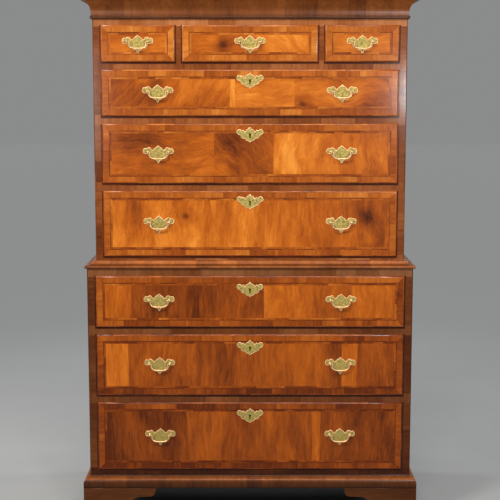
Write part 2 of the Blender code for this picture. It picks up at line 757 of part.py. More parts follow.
def bail_curve():
    """The bail as a bent rod about its pins' axis: pins out through the posts, and a low U."""
    half_span = POST_SPACING / 2 - POST_HEAD_RADIUS - BAIL_GAP - BAIL_LEG_RADIUS
    pin_tip = POST_SPACING / 2 + POST_HEAD_RADIUS - PIN_TIP_SETBACK
    pin_root = half_span + BAIL_LEG_RADIUS + BAIL_GAP / 2
    points = [(-pin_tip, 0, PIN_RADIUS), (-pin_root, 0, PIN_RADIUS)]
    for step in range(BAIL_ARC_STEPS + 1):
        turn = math.pi * step / BAIL_ARC_STEPS
        across = -math.copysign(abs(math.cos(turn)) ** (2 / BAIL_SQUARENESS), math.cos(turn))
        down = math.sin(turn) ** (2 / BAIL_SQUARENESS) if 0 < step < BAIL_ARC_STEPS else 0.0
        swell = math.sin(turn) ** 2
        radius = BAIL_LEG_RADIUS + (BAIL_GRIP_RADIUS - BAIL_LEG_RADIUS) * swell
        points.append((across * half_span, -down * BAIL_DROP, radius))
    points += [(pin_root, 0, PIN_RADIUS), (pin_tip, 0, PIN_RADIUS)]
    curve = bpy.data.curves.new("bail", "CURVE")
    curve.dimensions = "3D"
    curve.bevel_mode = "ROUND"
    curve.bevel_depth = BAIL_GRIP_RADIUS
    curve.bevel_resolution = 1
    curve.use_fill_caps = True
    spline = curve.splines.new("POLY")
    spline.points.add(len(points) - 1)
    for point, (x, z, radius) in zip(spline.points, points):
        point.co = (x, 0, z, 1)
        point.radius = radius / BAIL_GRIP_RADIUS
    return curve


def place_handle(name, drawer, post_line, shared):
    """A plate against the face, and a bail with its origin on the posts' axis."""
    x, face, z = post_line
    plate_back = face - SEAT_GAP
    place(f"{name}_handle_plate", shared["plate"], drawer, (x, plate_back, z))
    axis_y = plate_back - PLATE_THICKNESS - POST_STANDOFF
    place(f"{name}_bail", shared["bail"], drawer, (x, axis_y, z))


def shared_shapes():
    """The brass shapes that every drawer's own objects share."""
    brass = make_material("brass", LACQUERED_BRASS)
    shapes = {
        "plate": plate_mesh(),
        "bail": bail_curve(),
        "escutcheon": escutcheon_mesh(),
        "keyhole": keyhole_mesh(),
    }
    for name in ("plate", "bail"):
        shapes[name].materials.append(brass)
    return shapes


def front_reach():
    """How far the frontmost piece stands ahead of the lower case's front."""
    face = SEAT_GAP + LIP_THICKNESS
    handle = face + SEAT_GAP + PLATE_THICKNESS + POST_STANDOFF + POST_HEAD_RADIUS
    waist = WAIST_OVERHANG
    return max(cornice_reach() - UPPER_STEP, PLINTH_REACH, waist, handle)


def main():
    clear_scene()
    shared = shared_shapes()
    lower, upper = lower_case(), upper_case()
    front = front_reach() - (LOWER_DEPTH + front_reach()) / 2
    base_drop = PLINTH_STRIP_HEIGHT + BASE_MOULDING_HEIGHT - BASE_MOULDING_OVERLAP
    lower_bottom = FOOT_HEIGHT + SEAT_GAP + base_drop
    lower_chest = place_empty("lower_chest", None, (0, front, lower_bottom))
    upper_bottom = lower_bottom + lower.height + SEAT_GAP
    upper_chest = place_empty("upper_chest", None, (0, front + UPPER_STEP, upper_bottom))

    build_carcase(lower, lower_chest)
    build_back_boards(lower, lower_chest)
    build_moulding("base_moulding", base_profile(), lower, lower_chest, -base_drop)
    build_feet(lower, lower_chest, base_drop)
    for bay in lower.bays:
        build_drawer(bay, lower, lower_chest, LOWER_ESCUTCHEON_MARGIN, shared)

    build_carcase(upper, upper_chest)
    build_back_boards(upper, upper_chest)
    cornice_bottom = upper.height + CORNICE_WELL - cornice_height()
    build_moulding("cornice", cornice_profile(), upper, upper_chest, cornice_bottom)
    for bay in upper.bays:
        margin = None if bay.drawer.startswith("short") else UPPER_ESCUTCHEON_MARGIN
        build_drawer(bay, upper, upper_chest, margin, shared)

    waist_bottom = upper_bottom + WAIST_RISE - SEAT_GAP - WAIST_HEIGHT
    waist_frame = place_empty("waist", None, (0, front + UPPER_STEP, waist_bottom))
    build_moulding("waist_moulding", waist_profile(), upper, waist_frame, 0)


if __name__ == "__main__":
    main()
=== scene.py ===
"""Walnut chest-on-chest: the veneers, mouldings, boards and brass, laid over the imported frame.

Metres, +Z up, front towards -Y. Left and right are as seen from the front. Every piece is drawn
where the frame holds it, with its object at the origin, so that a finish reads rest coordinates.
"""

import logging
import math
from dataclasses import dataclass, field, replace
from enum import Enum, IntEnum
from random import Random
from typing import Callable, Iterator, Sequence

import bmesh
import bpy
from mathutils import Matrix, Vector
from mathutils.geometry import tessellate_polygon


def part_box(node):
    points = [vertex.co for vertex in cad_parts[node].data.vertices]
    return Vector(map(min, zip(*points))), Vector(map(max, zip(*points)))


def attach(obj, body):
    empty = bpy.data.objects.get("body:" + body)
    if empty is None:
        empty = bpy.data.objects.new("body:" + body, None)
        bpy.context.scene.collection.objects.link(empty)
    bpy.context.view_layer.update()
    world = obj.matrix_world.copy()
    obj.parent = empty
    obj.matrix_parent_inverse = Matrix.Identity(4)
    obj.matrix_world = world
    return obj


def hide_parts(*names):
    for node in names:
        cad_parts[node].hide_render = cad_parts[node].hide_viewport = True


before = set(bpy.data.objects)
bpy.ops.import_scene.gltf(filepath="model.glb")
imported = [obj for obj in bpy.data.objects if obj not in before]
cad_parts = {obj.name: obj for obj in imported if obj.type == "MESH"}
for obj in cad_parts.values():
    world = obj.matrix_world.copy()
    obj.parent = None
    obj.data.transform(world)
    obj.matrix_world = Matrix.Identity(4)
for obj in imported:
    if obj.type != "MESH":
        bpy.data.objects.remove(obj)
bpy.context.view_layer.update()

LOG = logging.getLogger("chest")

Point = tuple[float, float, float]
Flat = tuple[float, float]
Colour = tuple[float, float, float]
Socket = bpy.types.NodeSocket

# Grain directions and the place of a knot that a leaf doesn't have
ALONG_X: Point = (1.0, 0.0, 0.0)
ALONG_Y: Point = (0.0, 1.0, 0.0)
ALONG_Z: Point = (0.0, 0.0, 1.0)
NO_KNOT: Point = (0.0, 50.0, 0.0)

# Fits that all the joinery shares
HAIR = 0.00008
SEAT_GAP = 0.0003
VENEER = 0.0008

# How curves are shaded, and how worn edges are rounded
SMOOTH_ANGLE = math.radians(32)
WORN_ANGLE = math.radians(50)
WORN_STEPS = 2
FLATTEST_MITRE = 0.5

# How leaves differ: their place in the log, their polish, and their length as a share of the usual one
LOG_PLACES = (0.0, 9.0)
POLISH_SPAN = (0.92, 1.06)
LEAF_LENGTH_SPAN = (0.55, 1.45)


class Slot(Enum):
    """The record's material slots."""

    VENEER = "walnut_veneer"
    CASE = "walnut_case"
    MOULDING = "walnut_moulding"
    OAK = "oak_lining"
    PINE = "pine_boards"
    BRASS = "brass"


class Along(Enum):
    """The way that a flat outline is carried to make a solid."""

    RIGHT = "x"
    UP = "z"

    def place(self, corner: Flat, run: float) -> Point:
        """Where a corner of the outline lies after a run that way."""
        return (run, *corner) if self is Along.RIGHT else (*corner, run)


class FrontSkin(IntEnum):
    """Places of a drawer front's finishes in its list."""

    FIELD = 0
    BAND = 1
    GROUND = 2
    LIP = 3


@dataclass(frozen=True)
class Leaf:
    """How one leaf of veneer, or one board, was cut and laid.

    seed picks its place in the log, tone runs from dark heartwood at -1 to golden sapwood at 1,
    shade is how light it looks, from its old polish and, on the wax lines, the mouldings and the
    lower case, from painted light and shade too, curl is how much its fibres wander, grain is
    their direction, knot is where a knot lies, and drift is how its tone changes for each metre
    along each axis.
    """

    seed: float = 0.0
    tone: float = 0.0
    shade: float = 1.0
    curl: float = 1.0
    grain: Point = ALONG_X
    knot: Point = NO_KNOT
    drift: Point = (0.0, 0.0, 0.0)


@dataclass
class LeafPile:
    """A seeded pile of leaves, dealt out in order, so that each run lays the same ones.

    spread is how far their tones lie from the pile's, and shade is how light they look: their polish, and on
    the lower case painted shade too.
    """

    seed: int
    spread: float
    shade: float = 1.0
    tone: float = 0.0

    def __post_init__(self) -> None:
        """Shuffle the pile."""
        self.draw = Random(self.seed)

    def deal(self, grain: Point, tone: float = 0.0) -> Leaf:
        """Deal one leaf.

        Args:
            grain: Direction of its fibres.
            tone: Added to the leaf's own tone.

        Returns:
            The leaf.
        """
        seed = self.draw.uniform(*LOG_PLACES)
        own = self.tone + tone + self.draw.uniform(-self.spread, self.spread)
        return Leaf(seed=seed, tone=own, shade=self.shade * self.draw.uniform(*POLISH_SPAN), grain=grain)


def rectangle(low: Flat, high: Flat, y: float) -> list[Point]:
    """Corners of an upright rectangle between two (x, z) corners, at depth y."""
    return [(low[0], y, low[1]), (high[0], y, low[1]), (high[0], y, high[1]), (low[0], y, high[1])]


def circle(x: float, y: float, z: float, radius: float, sides: int, turned: float = 0.0) -> list[Point]:
    """Points of an upright circle about (x, y, z), from the right one up, turned by a share of a step."""
    turns = [math.tau * (side + turned) / sides for side in range(sides)]
    return [(x + radius * math.cos(turn), y, z + radius * math.sin(turn)) for turn in turns]


def face_sides(low: Flat, high: Flat) -> Iterator[tuple[Vector, Vector, Vector, float]]:
    """Go round the sides of an upright rectangle, from the bottom one on.

    Args:
        low: Its lowest (x, z) corner.
        high: Its highest corner.

    Yields:
        Each side's start, its direction, the direction inwards and its length.
    """
    corners = [Vector((x, z)) for x, _, z in rectangle(low, high, 0.0)]
    for start, end in zip(corners, corners[1:] + corners[:1]):
        along = (end - start).normalized()
        yield start, along, Vector((-along.y, along.x)), (end - start).length


def quarter(start: Flat, end: Flat, steps: int, upright_first: bool) -> list[Flat]:
    """Points after start along a quarter of an ellipse.

    Args:
        start: Where the curve starts.
        end: Where it ends.
        steps: How many points it takes.
        upright_first: Whether it leaves start along the second coordinate.

    Returns:
        The points, with end as the last one.
    """
    points = []
    for step in range(1, steps + 1):
        turn = math.pi / 2 * step / steps
        rising, easing = math.sin(turn), 1 - math.cos(turn)
        across, up = (easing, rising) if upright_first else (rising, easing)
        points.append((start[0] + (end[0] - start[0]) * across, start[1] + (end[1] - start[1]) * up))
    return points


def inset_outline(outline: Sequence[Flat], inset: float) -> list[Flat]:
    """Draw a closed outline in by a small distance.

    Args:
        outline: Its points, in order round the shape.
        inset: The distance in.

    Returns:
        As many points, moved in along the corners' middle lines.
    """
    count = len(outline)
    pairs = [(outline[i], outline[(i + 1) % count]) for i in range(count)]
    turning = sum(a[0] * b[1] - b[0] * a[1] for a, b in pairs)
    way = 1.0 if turning > 0 else -1.0
    moved = []
    for i, (x, z) in enumerate(outline):
        before = Vector(outline[i]) - Vector(outline[i - 1])
        after = Vector(outline[(i + 1) % count]) - Vector(outline[i])
        normal = Vector((-before.y, before.x)).normalized() + Vector((-after.y, after.x)).normalized()
        reach = inset / max(normal.length / 2, FLATTEST_MITRE)
        step = normal.normalized() * reach * way
        moved.append((x + step.x, z + step.y))
    return moved


def smooth_outline(points: Sequence[Flat], corners: Sequence[int], steps: int) -> list[Flat]:
    """Draw a smooth open line through points, with sharp turns at its corners.

    Args:
        points: What it passes through. Both ends count as corners.
        corners: Places in the list where the line turns sharply.
        steps: Points for each stretch.

    Returns:
        The finer line.
    """
    sharp = set(corners) | {0, len(points) - 1}
    given = [Vector(point) for point in points]
    line = [tuple(given[0])]
    for i in range(len(given) - 1):
        chord = given[i + 1] - given[i]
        leaving = chord if i in sharp else (given[i + 1] - given[i - 1]) / 2
        arriving = chord if i + 1 in sharp else (given[i + 2] - given[i]) / 2
        for step in range(1, steps + 1):
            t = step / steps
            place = (2 * t**3 - 3 * t**2 + 1) * given[i] + (t**3 - 2 * t**2 + t) * leaving
            place += (3 * t**2 - 2 * t**3) * given[i + 1] + (t**3 - t**2) * arriving
            line.append(tuple(place))
    return line


def mirrored(right_half: Sequence[Flat]) -> list[Flat]:
    """A whole outline from its right half, whose first and last points are on the middle line."""
    return list(right_half) + [(-x, z) for x, z in reversed(right_half[1:-1])]


def stations(start: float, end: float, pitch: float, draw: Random) -> list[float]:
    """Joints along a run of short leaves.

    Args:
        start: Where the run starts.
        end: Where it ends.
        pitch: Usual length of a leaf.
        draw: What makes their lengths uneven.

    Returns:
        The ends of all the leaves, from start to end.
    """
    count = max(1, round((end - start) / pitch))
    lengths = [draw.uniform(*LEAF_LENGTH_SPAN) for _ in range(count)]
    places = [start]
    for length in lengths:
        places.append(places[-1] + (end - start) * length / sum(lengths))
    places[-1] = end
    return places


@dataclass
class NodeBoard:
    """A new material's node tree, with short calls for the nodes that the finishes use."""

    name: str

    def __post_init__(self) -> None:
        """Open the material with an empty shader."""
        self.material = bpy.data.materials.new(self.name)
        self.material.use_nodes = True
        self.nodes = self.material.node_tree.nodes
        self.links = self.material.node_tree.links
        self.shader = self.nodes["Principled BSDF"]

    def add(self, kind: str, inputs: dict[str | int, object], **settings: object) -> bpy.types.Node:
        """Add a node.

        Args:
            kind: Its type's name after ShaderNode.
            inputs: Input name or number to a value or another node's output.
            **settings: The node's own settings.

        Returns:
            The node.
        """
        node = self.nodes.new("ShaderNode" + kind)
        for key, value in settings.items():
            setattr(node, key, value)
        for key, value in inputs.items():
            self.feed(node.inputs[key], value)
        return node

    def feed(self, socket: Socket, value: object) -> None:
        """Fill a socket.

        Args:
            socket: The socket.
            value: A value, or another node's output.
        """
        if isinstance(value, Socket):
            self.links.new(value, socket)
        else:
            socket.default_value = value

    def position(self) -> Socket:
        """Rest coordinates of the surface, in metres."""
        return self.add("TexCoord", {}).outputs["Object"]

    def read(self, name: str, vector: bool = False) -> Socket:
        """A leaf's value of that name on this face."""
        node = self.add("Attribute", {}, attribute_name=name)
        return node.outputs["Vector" if vector else "Fac"]

    def noise(
        self, where: object, scale: float, detail: float = 2.0, colour: bool = False, twist: float = 0.0,
        rough: float = 0.5,
    ) -> Socket:
        """Soft noise with that many features in a metre, as a number or, in colour, as a vector."""
        inputs = {"Vector": where, "Scale": scale, "Detail": detail, "Distortion": twist, "Roughness": rough}
        return self.add("TexNoise", inputs).outputs["Color" if colour else "Fac"]

    def math(self, operation: str, a: object, b: object = 0.0, clamp: bool = False) -> Socket:
        """One sum of two numbers."""
        return self.add("Math", {0: a, 1: b}, operation=operation, use_clamp=clamp).outputs[0]

    def vector(self, operation: str, a: object, b: object) -> Socket:
        """One sum of two vectors."""
        node = self.add("VectorMath", {0: a, 1: b}, operation=operation)
        return node.outputs["Value" if operation in ("DOT_PRODUCT", "DISTANCE") else "Vector"]

    def scaled(self, a: object, factor: object) -> Socket:
        """A vector times a number."""
        return self.add("VectorMath", {0: a, "Scale": factor}, operation="SCALE").outputs["Vector"]

    def spread(self, value: object, span: Flat, to: Flat) -> Socket:
        """A number carried from one span to another, smoothly, and held at the ends."""
        inputs = {0: value, 1: span[0], 2: span[1], 3: to[0], 4: to[1]}
        return self.add("MapRange", inputs, interpolation_type="SMOOTHSTEP").outputs[0]

    def ramp(self, value: object, stops: Sequence[tuple[float, Colour]]) -> Socket:
        """Look a colour up.

        Args:
            value: The place to look at, from 0 to 1.
            stops: (place, colour) pairs, in order.

        Returns:
            The colour.
        """
        node = self.add("ValToRGB", {0: value})
        stock = node.color_ramp.elements
        while len(stock) < len(stops):
            stock.new(1.0)
        for element, (place, colour) in zip(stock, stops):
            element.position = place
            element.color = (*colour, 1.0)
        return node.outputs["Color"]

    def blend(self, kind: str, share: object, a: object, b: object) -> Socket:
        """Two colours mixed in Blender's way of that name."""
        inputs = {0: share, 6: a, 7: b}
        return self.add("Mix", inputs, data_type="RGBA", blend_type=kind).outputs[2]

    def bump(self, height: object, strength: float, distance: float) -> None:
        """Raise the surface a little by a height."""
        inputs = {"Height": height, "Strength": strength, "Distance": distance}
        self.feed(self.shader.inputs["Normal"], self.add("Bump", inputs).outputs["Normal"])

    def set_shader(self, **values: object) -> None:
        """Set sockets of the shader, whose names are given with _ for a space."""
        for key, value in values.items():
            self.feed(self.shader.inputs[key.replace("_", " ")], value)


@dataclass(frozen=True)
class WoodFinish:
    """Polished or raw wood: fibres along each leaf's grain, growth lines, patches, pores and knots."""

    name: str
    stops: tuple[tuple[float, Colour], ...]
    figure_scale: float = 13.0
    figure_lines: float = 4.0
    figure_depth: float = 0.10
    figure_stretch: float = 0.20
    mottle_scale: float = 130.0
    mottle_stretch: float = 0.14
    mottle_depth: float = 0.34
    streak_scale: float = 420.0
    streak_stretch: float = 0.03
    streak_depth: float = 0.20
    patch_scale: float = 9.0
    patch_stretch: float = 0.42
    patch_depth: float = 1.45
    bend: float = 0.030
    bend_scale: float = 6.0
    ripple: float = 0.0050
    ripple_scale: float = 38.0
    log_step: Point = (17.0, 5.0, 11.0)
    knot_reach: float = 0.030
    knot_swell: float = 0.22
    knot_heart: float = 0.009
    heart_span: Flat = (0.3, 1.5)
    heart_shade: float = 0.42
    burr_reach: float = 0.046
    burr_depth: float = 0.24
    pore_scale: float = 1100.0
    pore_stretch: float = 0.05
    pore_span: Flat = (0.60, 0.66)
    pore_shade: float = 0.80
    roughness: float = 0.40
    roughness_swing: Flat = (-0.06, 0.08)
    coat: float = 0.32
    coat_roughness: float = 0.10
    specular: float = 0.05
    relief: float = 0.12
    relief_height: float = 0.0004

    def make(self) -> bpy.types.Material:
        """Build the finish's material.

        Returns:
            The material, which reads each face's leaf.
        """
        board = NodeBoard(self.name)
        where = board.position()
        grain = board.read("grain", vector=True)
        shift = board.scaled(self.log_step, board.read("seed"))
        moved = board.vector("ADD", where, shift)
        middle = (0.5, 0.5, 0.5)
        wander = board.vector("SUBTRACT", board.noise(moved, self.bend_scale, 2.0, colour=True), middle)
        ripple = board.vector("SUBTRACT", board.noise(moved, self.ripple_scale, 1.0, colour=True), middle)
        wander = board.vector("ADD", board.scaled(wander, self.bend), board.scaled(ripple, self.ripple))
        bent = board.vector("ADD", moved, board.scaled(wander, board.read("curl")))
        along = board.vector("DOT_PRODUCT", bent, grain)

        def drawn(share: float) -> Socket:
            """Coordinates that draw a feature out along the grain, to 1 / share times its width."""
            pull = board.scaled(grain, board.math("MULTIPLY", along, 1.0 - share))
            return board.vector("SUBTRACT", bent, pull)

        near_knot = board.vector("ADD", where, board.scaled(ripple, self.knot_heart))
        knot_distance = board.vector("DISTANCE", near_knot, board.read("knot", vector=True))
        swell = board.spread(knot_distance, (0.0, self.knot_reach), (self.knot_swell, 0.0))
        growth = board.noise(drawn(self.figure_stretch), self.figure_scale, 2.5, twist=0.5)
        lines = board.math("MULTIPLY", board.math("ADD", growth, swell), self.figure_lines)
        figure = board.math("MULTIPLY", board.math("PINGPONG", lines, 0.5), 2.0)
        streak = board.noise(drawn(self.streak_stretch), self.streak_scale, 3.0)
        mottle = board.noise(drawn(self.mottle_stretch), self.mottle_scale, 2.0, twist=0.3)
        patch = board.noise(drawn(self.patch_stretch), self.patch_scale, 5.0, rough=0.58)
        drift = board.vector("DOT_PRODUCT", where, board.read("drift", vector=True))
        value = board.math("MULTIPLY_ADD", board.math("ADD", board.read("tone"), drift), 0.5)
        board.feed(value.node.inputs[2], 0.5)
        for source, depth in (
            (figure, self.figure_depth), (streak, self.streak_depth), (patch, self.patch_depth),
            (mottle, self.mottle_depth),
        ):
            part = board.math("MULTIPLY", board.math("SUBTRACT", source, 0.5), depth)
            value = board.math("ADD", value, part)
        burr = board.spread(knot_distance, (self.knot_heart, self.burr_reach), (self.burr_depth, 0.0))
        colour = board.ramp(board.math("SUBTRACT", value, burr), self.stops)
        grit = board.noise(drawn(self.pore_stretch), self.pore_scale, 1.0)
        pores = board.spread(grit, self.pore_span, (1.0, self.pore_shade))
        heart_start, heart_end = (self.knot_heart * share for share in self.heart_span)
        heart = board.spread(knot_distance, (heart_start, heart_end), (self.heart_shade, 1.0))
        dimming = board.math("MULTIPLY", board.math("MULTIPLY", pores, heart), board.read("shade"))
        dimmer = board.add("CombineColor", {part: dimming for part in range(3)}).outputs[0]
        colour = board.blend("MULTIPLY", 1.0, colour, dimmer)
        height = board.math("ADD", board.math("MULTIPLY", streak, 0.5), pores)
        board.bump(height, self.relief, self.relief_height)
        smoothest, roughest = (self.roughness + swing for swing in self.roughness_swing)
        rough = board.spread(streak, (0.2, 0.8), (smoothest, roughest))
        board.set_shader(
            Base_Color=colour,
            Roughness=rough,
            Coat_Weight=self.coat,
            Coat_Roughness=self.coat_roughness,
            Specular_IOR_Level=self.specular,
        )
        return board.material


@dataclass(frozen=True)
class BrassFinish:
    """Cast brass, rubbed bright on its high places, with green-brown tarnish in the low ones."""

    name: str = "rubbed_brass"
    bright: Colour = (0.93, 0.64, 0.35)
    dull: Colour = (0.88, 0.56, 0.27)
    tarnish: Colour = (0.68, 0.40, 0.16)
    tarnish_places: Point = (0.28, 0.42, 0.62)
    cloud_scale: float = 160.0
    speck_scale: float = 900.0
    speck_share: float = 0.3
    roughness: float = 0.46
    roughness_swing: Flat = (0.14, -0.05)
    relief: float = 0.10
    relief_height: float = 0.0002

    def make(self) -> bpy.types.Material:
        """Build the finish's material.

        Returns:
            The material.
        """
        board = NodeBoard(self.name)
        where = board.position()
        cloud = board.noise(where, self.cloud_scale, 4.0)
        speck = board.noise(where, self.speck_scale, 2.0)
        cloud_part = board.math("MULTIPLY", cloud, 1 - self.speck_share)
        mixed = board.math("ADD", cloud_part, board.math("MULTIPLY", speck, self.speck_share))
        stops = tuple(zip(self.tarnish_places, (self.tarnish, self.dull, self.bright)))
        board.bump(speck, self.relief, self.relief_height)
        roughest, smoothest = (self.roughness + swing for swing in self.roughness_swing)
        board.set_shader(
            Base_Color=board.ramp(mixed, stops),
            Roughness=board.spread(cloud, (0.3, 0.7), (roughest, smoothest)),
            Metallic=1.0,
        )
        return board.material


@dataclass(frozen=True)
class IronFinish:
    """Dark filed iron of the locks and nails."""

    name: str = "lock_iron"
    colour: Colour = (0.060, 0.052, 0.046)
    rust: Colour = (0.115, 0.055, 0.028)
    rust_span: Flat = (0.45, 0.70)
    cloud_scale: float = 220.0
    roughness_span: Flat = (0.42, 0.62)
    metallic: float = 0.85
    relief: float = 0.25
    relief_height: float = 0.0003

    def make(self) -> bpy.types.Material:
        """Build the finish's material.

        Returns:
            The material.
        """
        board = NodeBoard(self.name)
        cloud = board.noise(board.position(), self.cloud_scale, 4.0)
        board.bump(cloud, self.relief, self.relief_height)
        board.set_shader(
            Base_Color=board.ramp(cloud, tuple(zip(self.rust_span, (self.colour, self.rust)))),
            Roughness=board.spread(cloud, (0.3, 0.7), self.roughness_span),
            Metallic=self.metallic,
        )
        return board.material


class Workshop:
    """The finishes that all the pieces share, each made once."""

    def __init__(self) -> None:
        """Mix every finish."""
        figured = WoodFinish(
            "figured_walnut",
            stops=(
                (0.08, (0.100, 0.017, 0.0015)), (0.34, (0.290, 0.058, 0.0040)),
                (0.56, (0.480, 0.107, 0.0060)), (0.78, (0.680, 0.186, 0.0150)),
                (0.96, (0.840, 0.290, 0.0360)),
            ),
        )
        self.field = figured.make()
        self.calm_field = replace(figured, name="quiet_walnut", patch_depth=0.80).make()
        crossband = WoodFinish(
            "crossbanded_walnut",
            stops=(
                (0.10, (0.115, 0.018, 0.0010)), (0.38, (0.310, 0.062, 0.0040)),
                (0.60, (0.490, 0.124, 0.0110)), (0.90, (0.740, 0.270, 0.0420)),
            ),
            figure_scale=20.0, figure_depth=0.08, mottle_depth=0.30,
            patch_scale=11.0, patch_depth=0.84, bend=0.012, coat=0.34,
        )
        self.band = crossband.make()
        self.lip = replace(crossband, name="lipped_walnut", coat=0.85, coat_roughness=0.20).make()
        self.facing = WoodFinish(
            "carcase_walnut",
            stops=(
                (0.08, (0.075, 0.013, 0.001)), (0.36, (0.190, 0.045, 0.007)),
                (0.60, (0.330, 0.098, 0.023)), (0.92, (0.530, 0.200, 0.070)),
            ),
            figure_scale=18.0, figure_depth=0.08, mottle_depth=0.30,
            patch_scale=12.0, patch_depth=0.46, bend=0.012, coat=0.28,
        ).make()
        self.side = WoodFinish(
            "side_walnut",
            stops=(
                (0.08, (0.070, 0.018, 0.006)), (0.36, (0.210, 0.058, 0.016)),
                (0.60, (0.360, 0.120, 0.032)), (0.92, (0.540, 0.220, 0.070)),
            ),
            figure_scale=9.0, figure_lines=6.0, figure_depth=0.24, figure_stretch=0.14,
            patch_depth=0.60, patch_stretch=0.30, bend=0.016,
        ).make()
        self.moulding = WoodFinish(
            "moulded_walnut",
            stops=(
                (0.08, (0.045, 0.011, 0.002)), (0.36, (0.140, 0.034, 0.006)),
                (0.62, (0.280, 0.078, 0.014)), (0.94, (0.470, 0.165, 0.040)),
            ),
            figure_scale=18.0, figure_depth=0.08, mottle_depth=0.30,
            patch_scale=14.0, patch_depth=0.50, bend=0.010, coat=0.30, coat_roughness=0.26,
        ).make()
        self.oak = WoodFinish(
            "drawer_oak",
            stops=(
                (0.10, (0.160, 0.082, 0.030)), (0.45, (0.330, 0.190, 0.082)),
                (0.90, (0.520, 0.340, 0.170)),
            ),
            figure_depth=0.20, figure_stretch=0.08, streak_depth=0.50, mottle_depth=0.20,
            patch_depth=0.30, pore_shade=0.62, roughness=0.66, coat=0.0, specular=0.25, relief=0.35,
        ).make()
        self.pine = WoodFinish(
            "back_pine",
            stops=(
                (0.10, (0.120, 0.062, 0.026)), (0.45, (0.270, 0.158, 0.075)),
                (0.90, (0.450, 0.300, 0.160)),
            ),
            figure_scale=9.0, figure_lines=7.0, figure_depth=0.34, figure_stretch=0.06,
            streak_depth=0.30, mottle_depth=0.20, patch_depth=0.34, pore_shade=0.90,
            roughness=0.74, coat=0.0, specular=0.20, relief=0.35,
        ).make()
        self.brass = BrassFinish().make()
        self.aged_brass = BrassFinish(
            "aged_brass", bright=(0.52, 0.395, 0.125), dull=(0.36, 0.280, 0.078),
            tarnish=(0.13, 0.095, 0.024), roughness=0.60,
        ).make()
        self.iron = IronFinish().make()


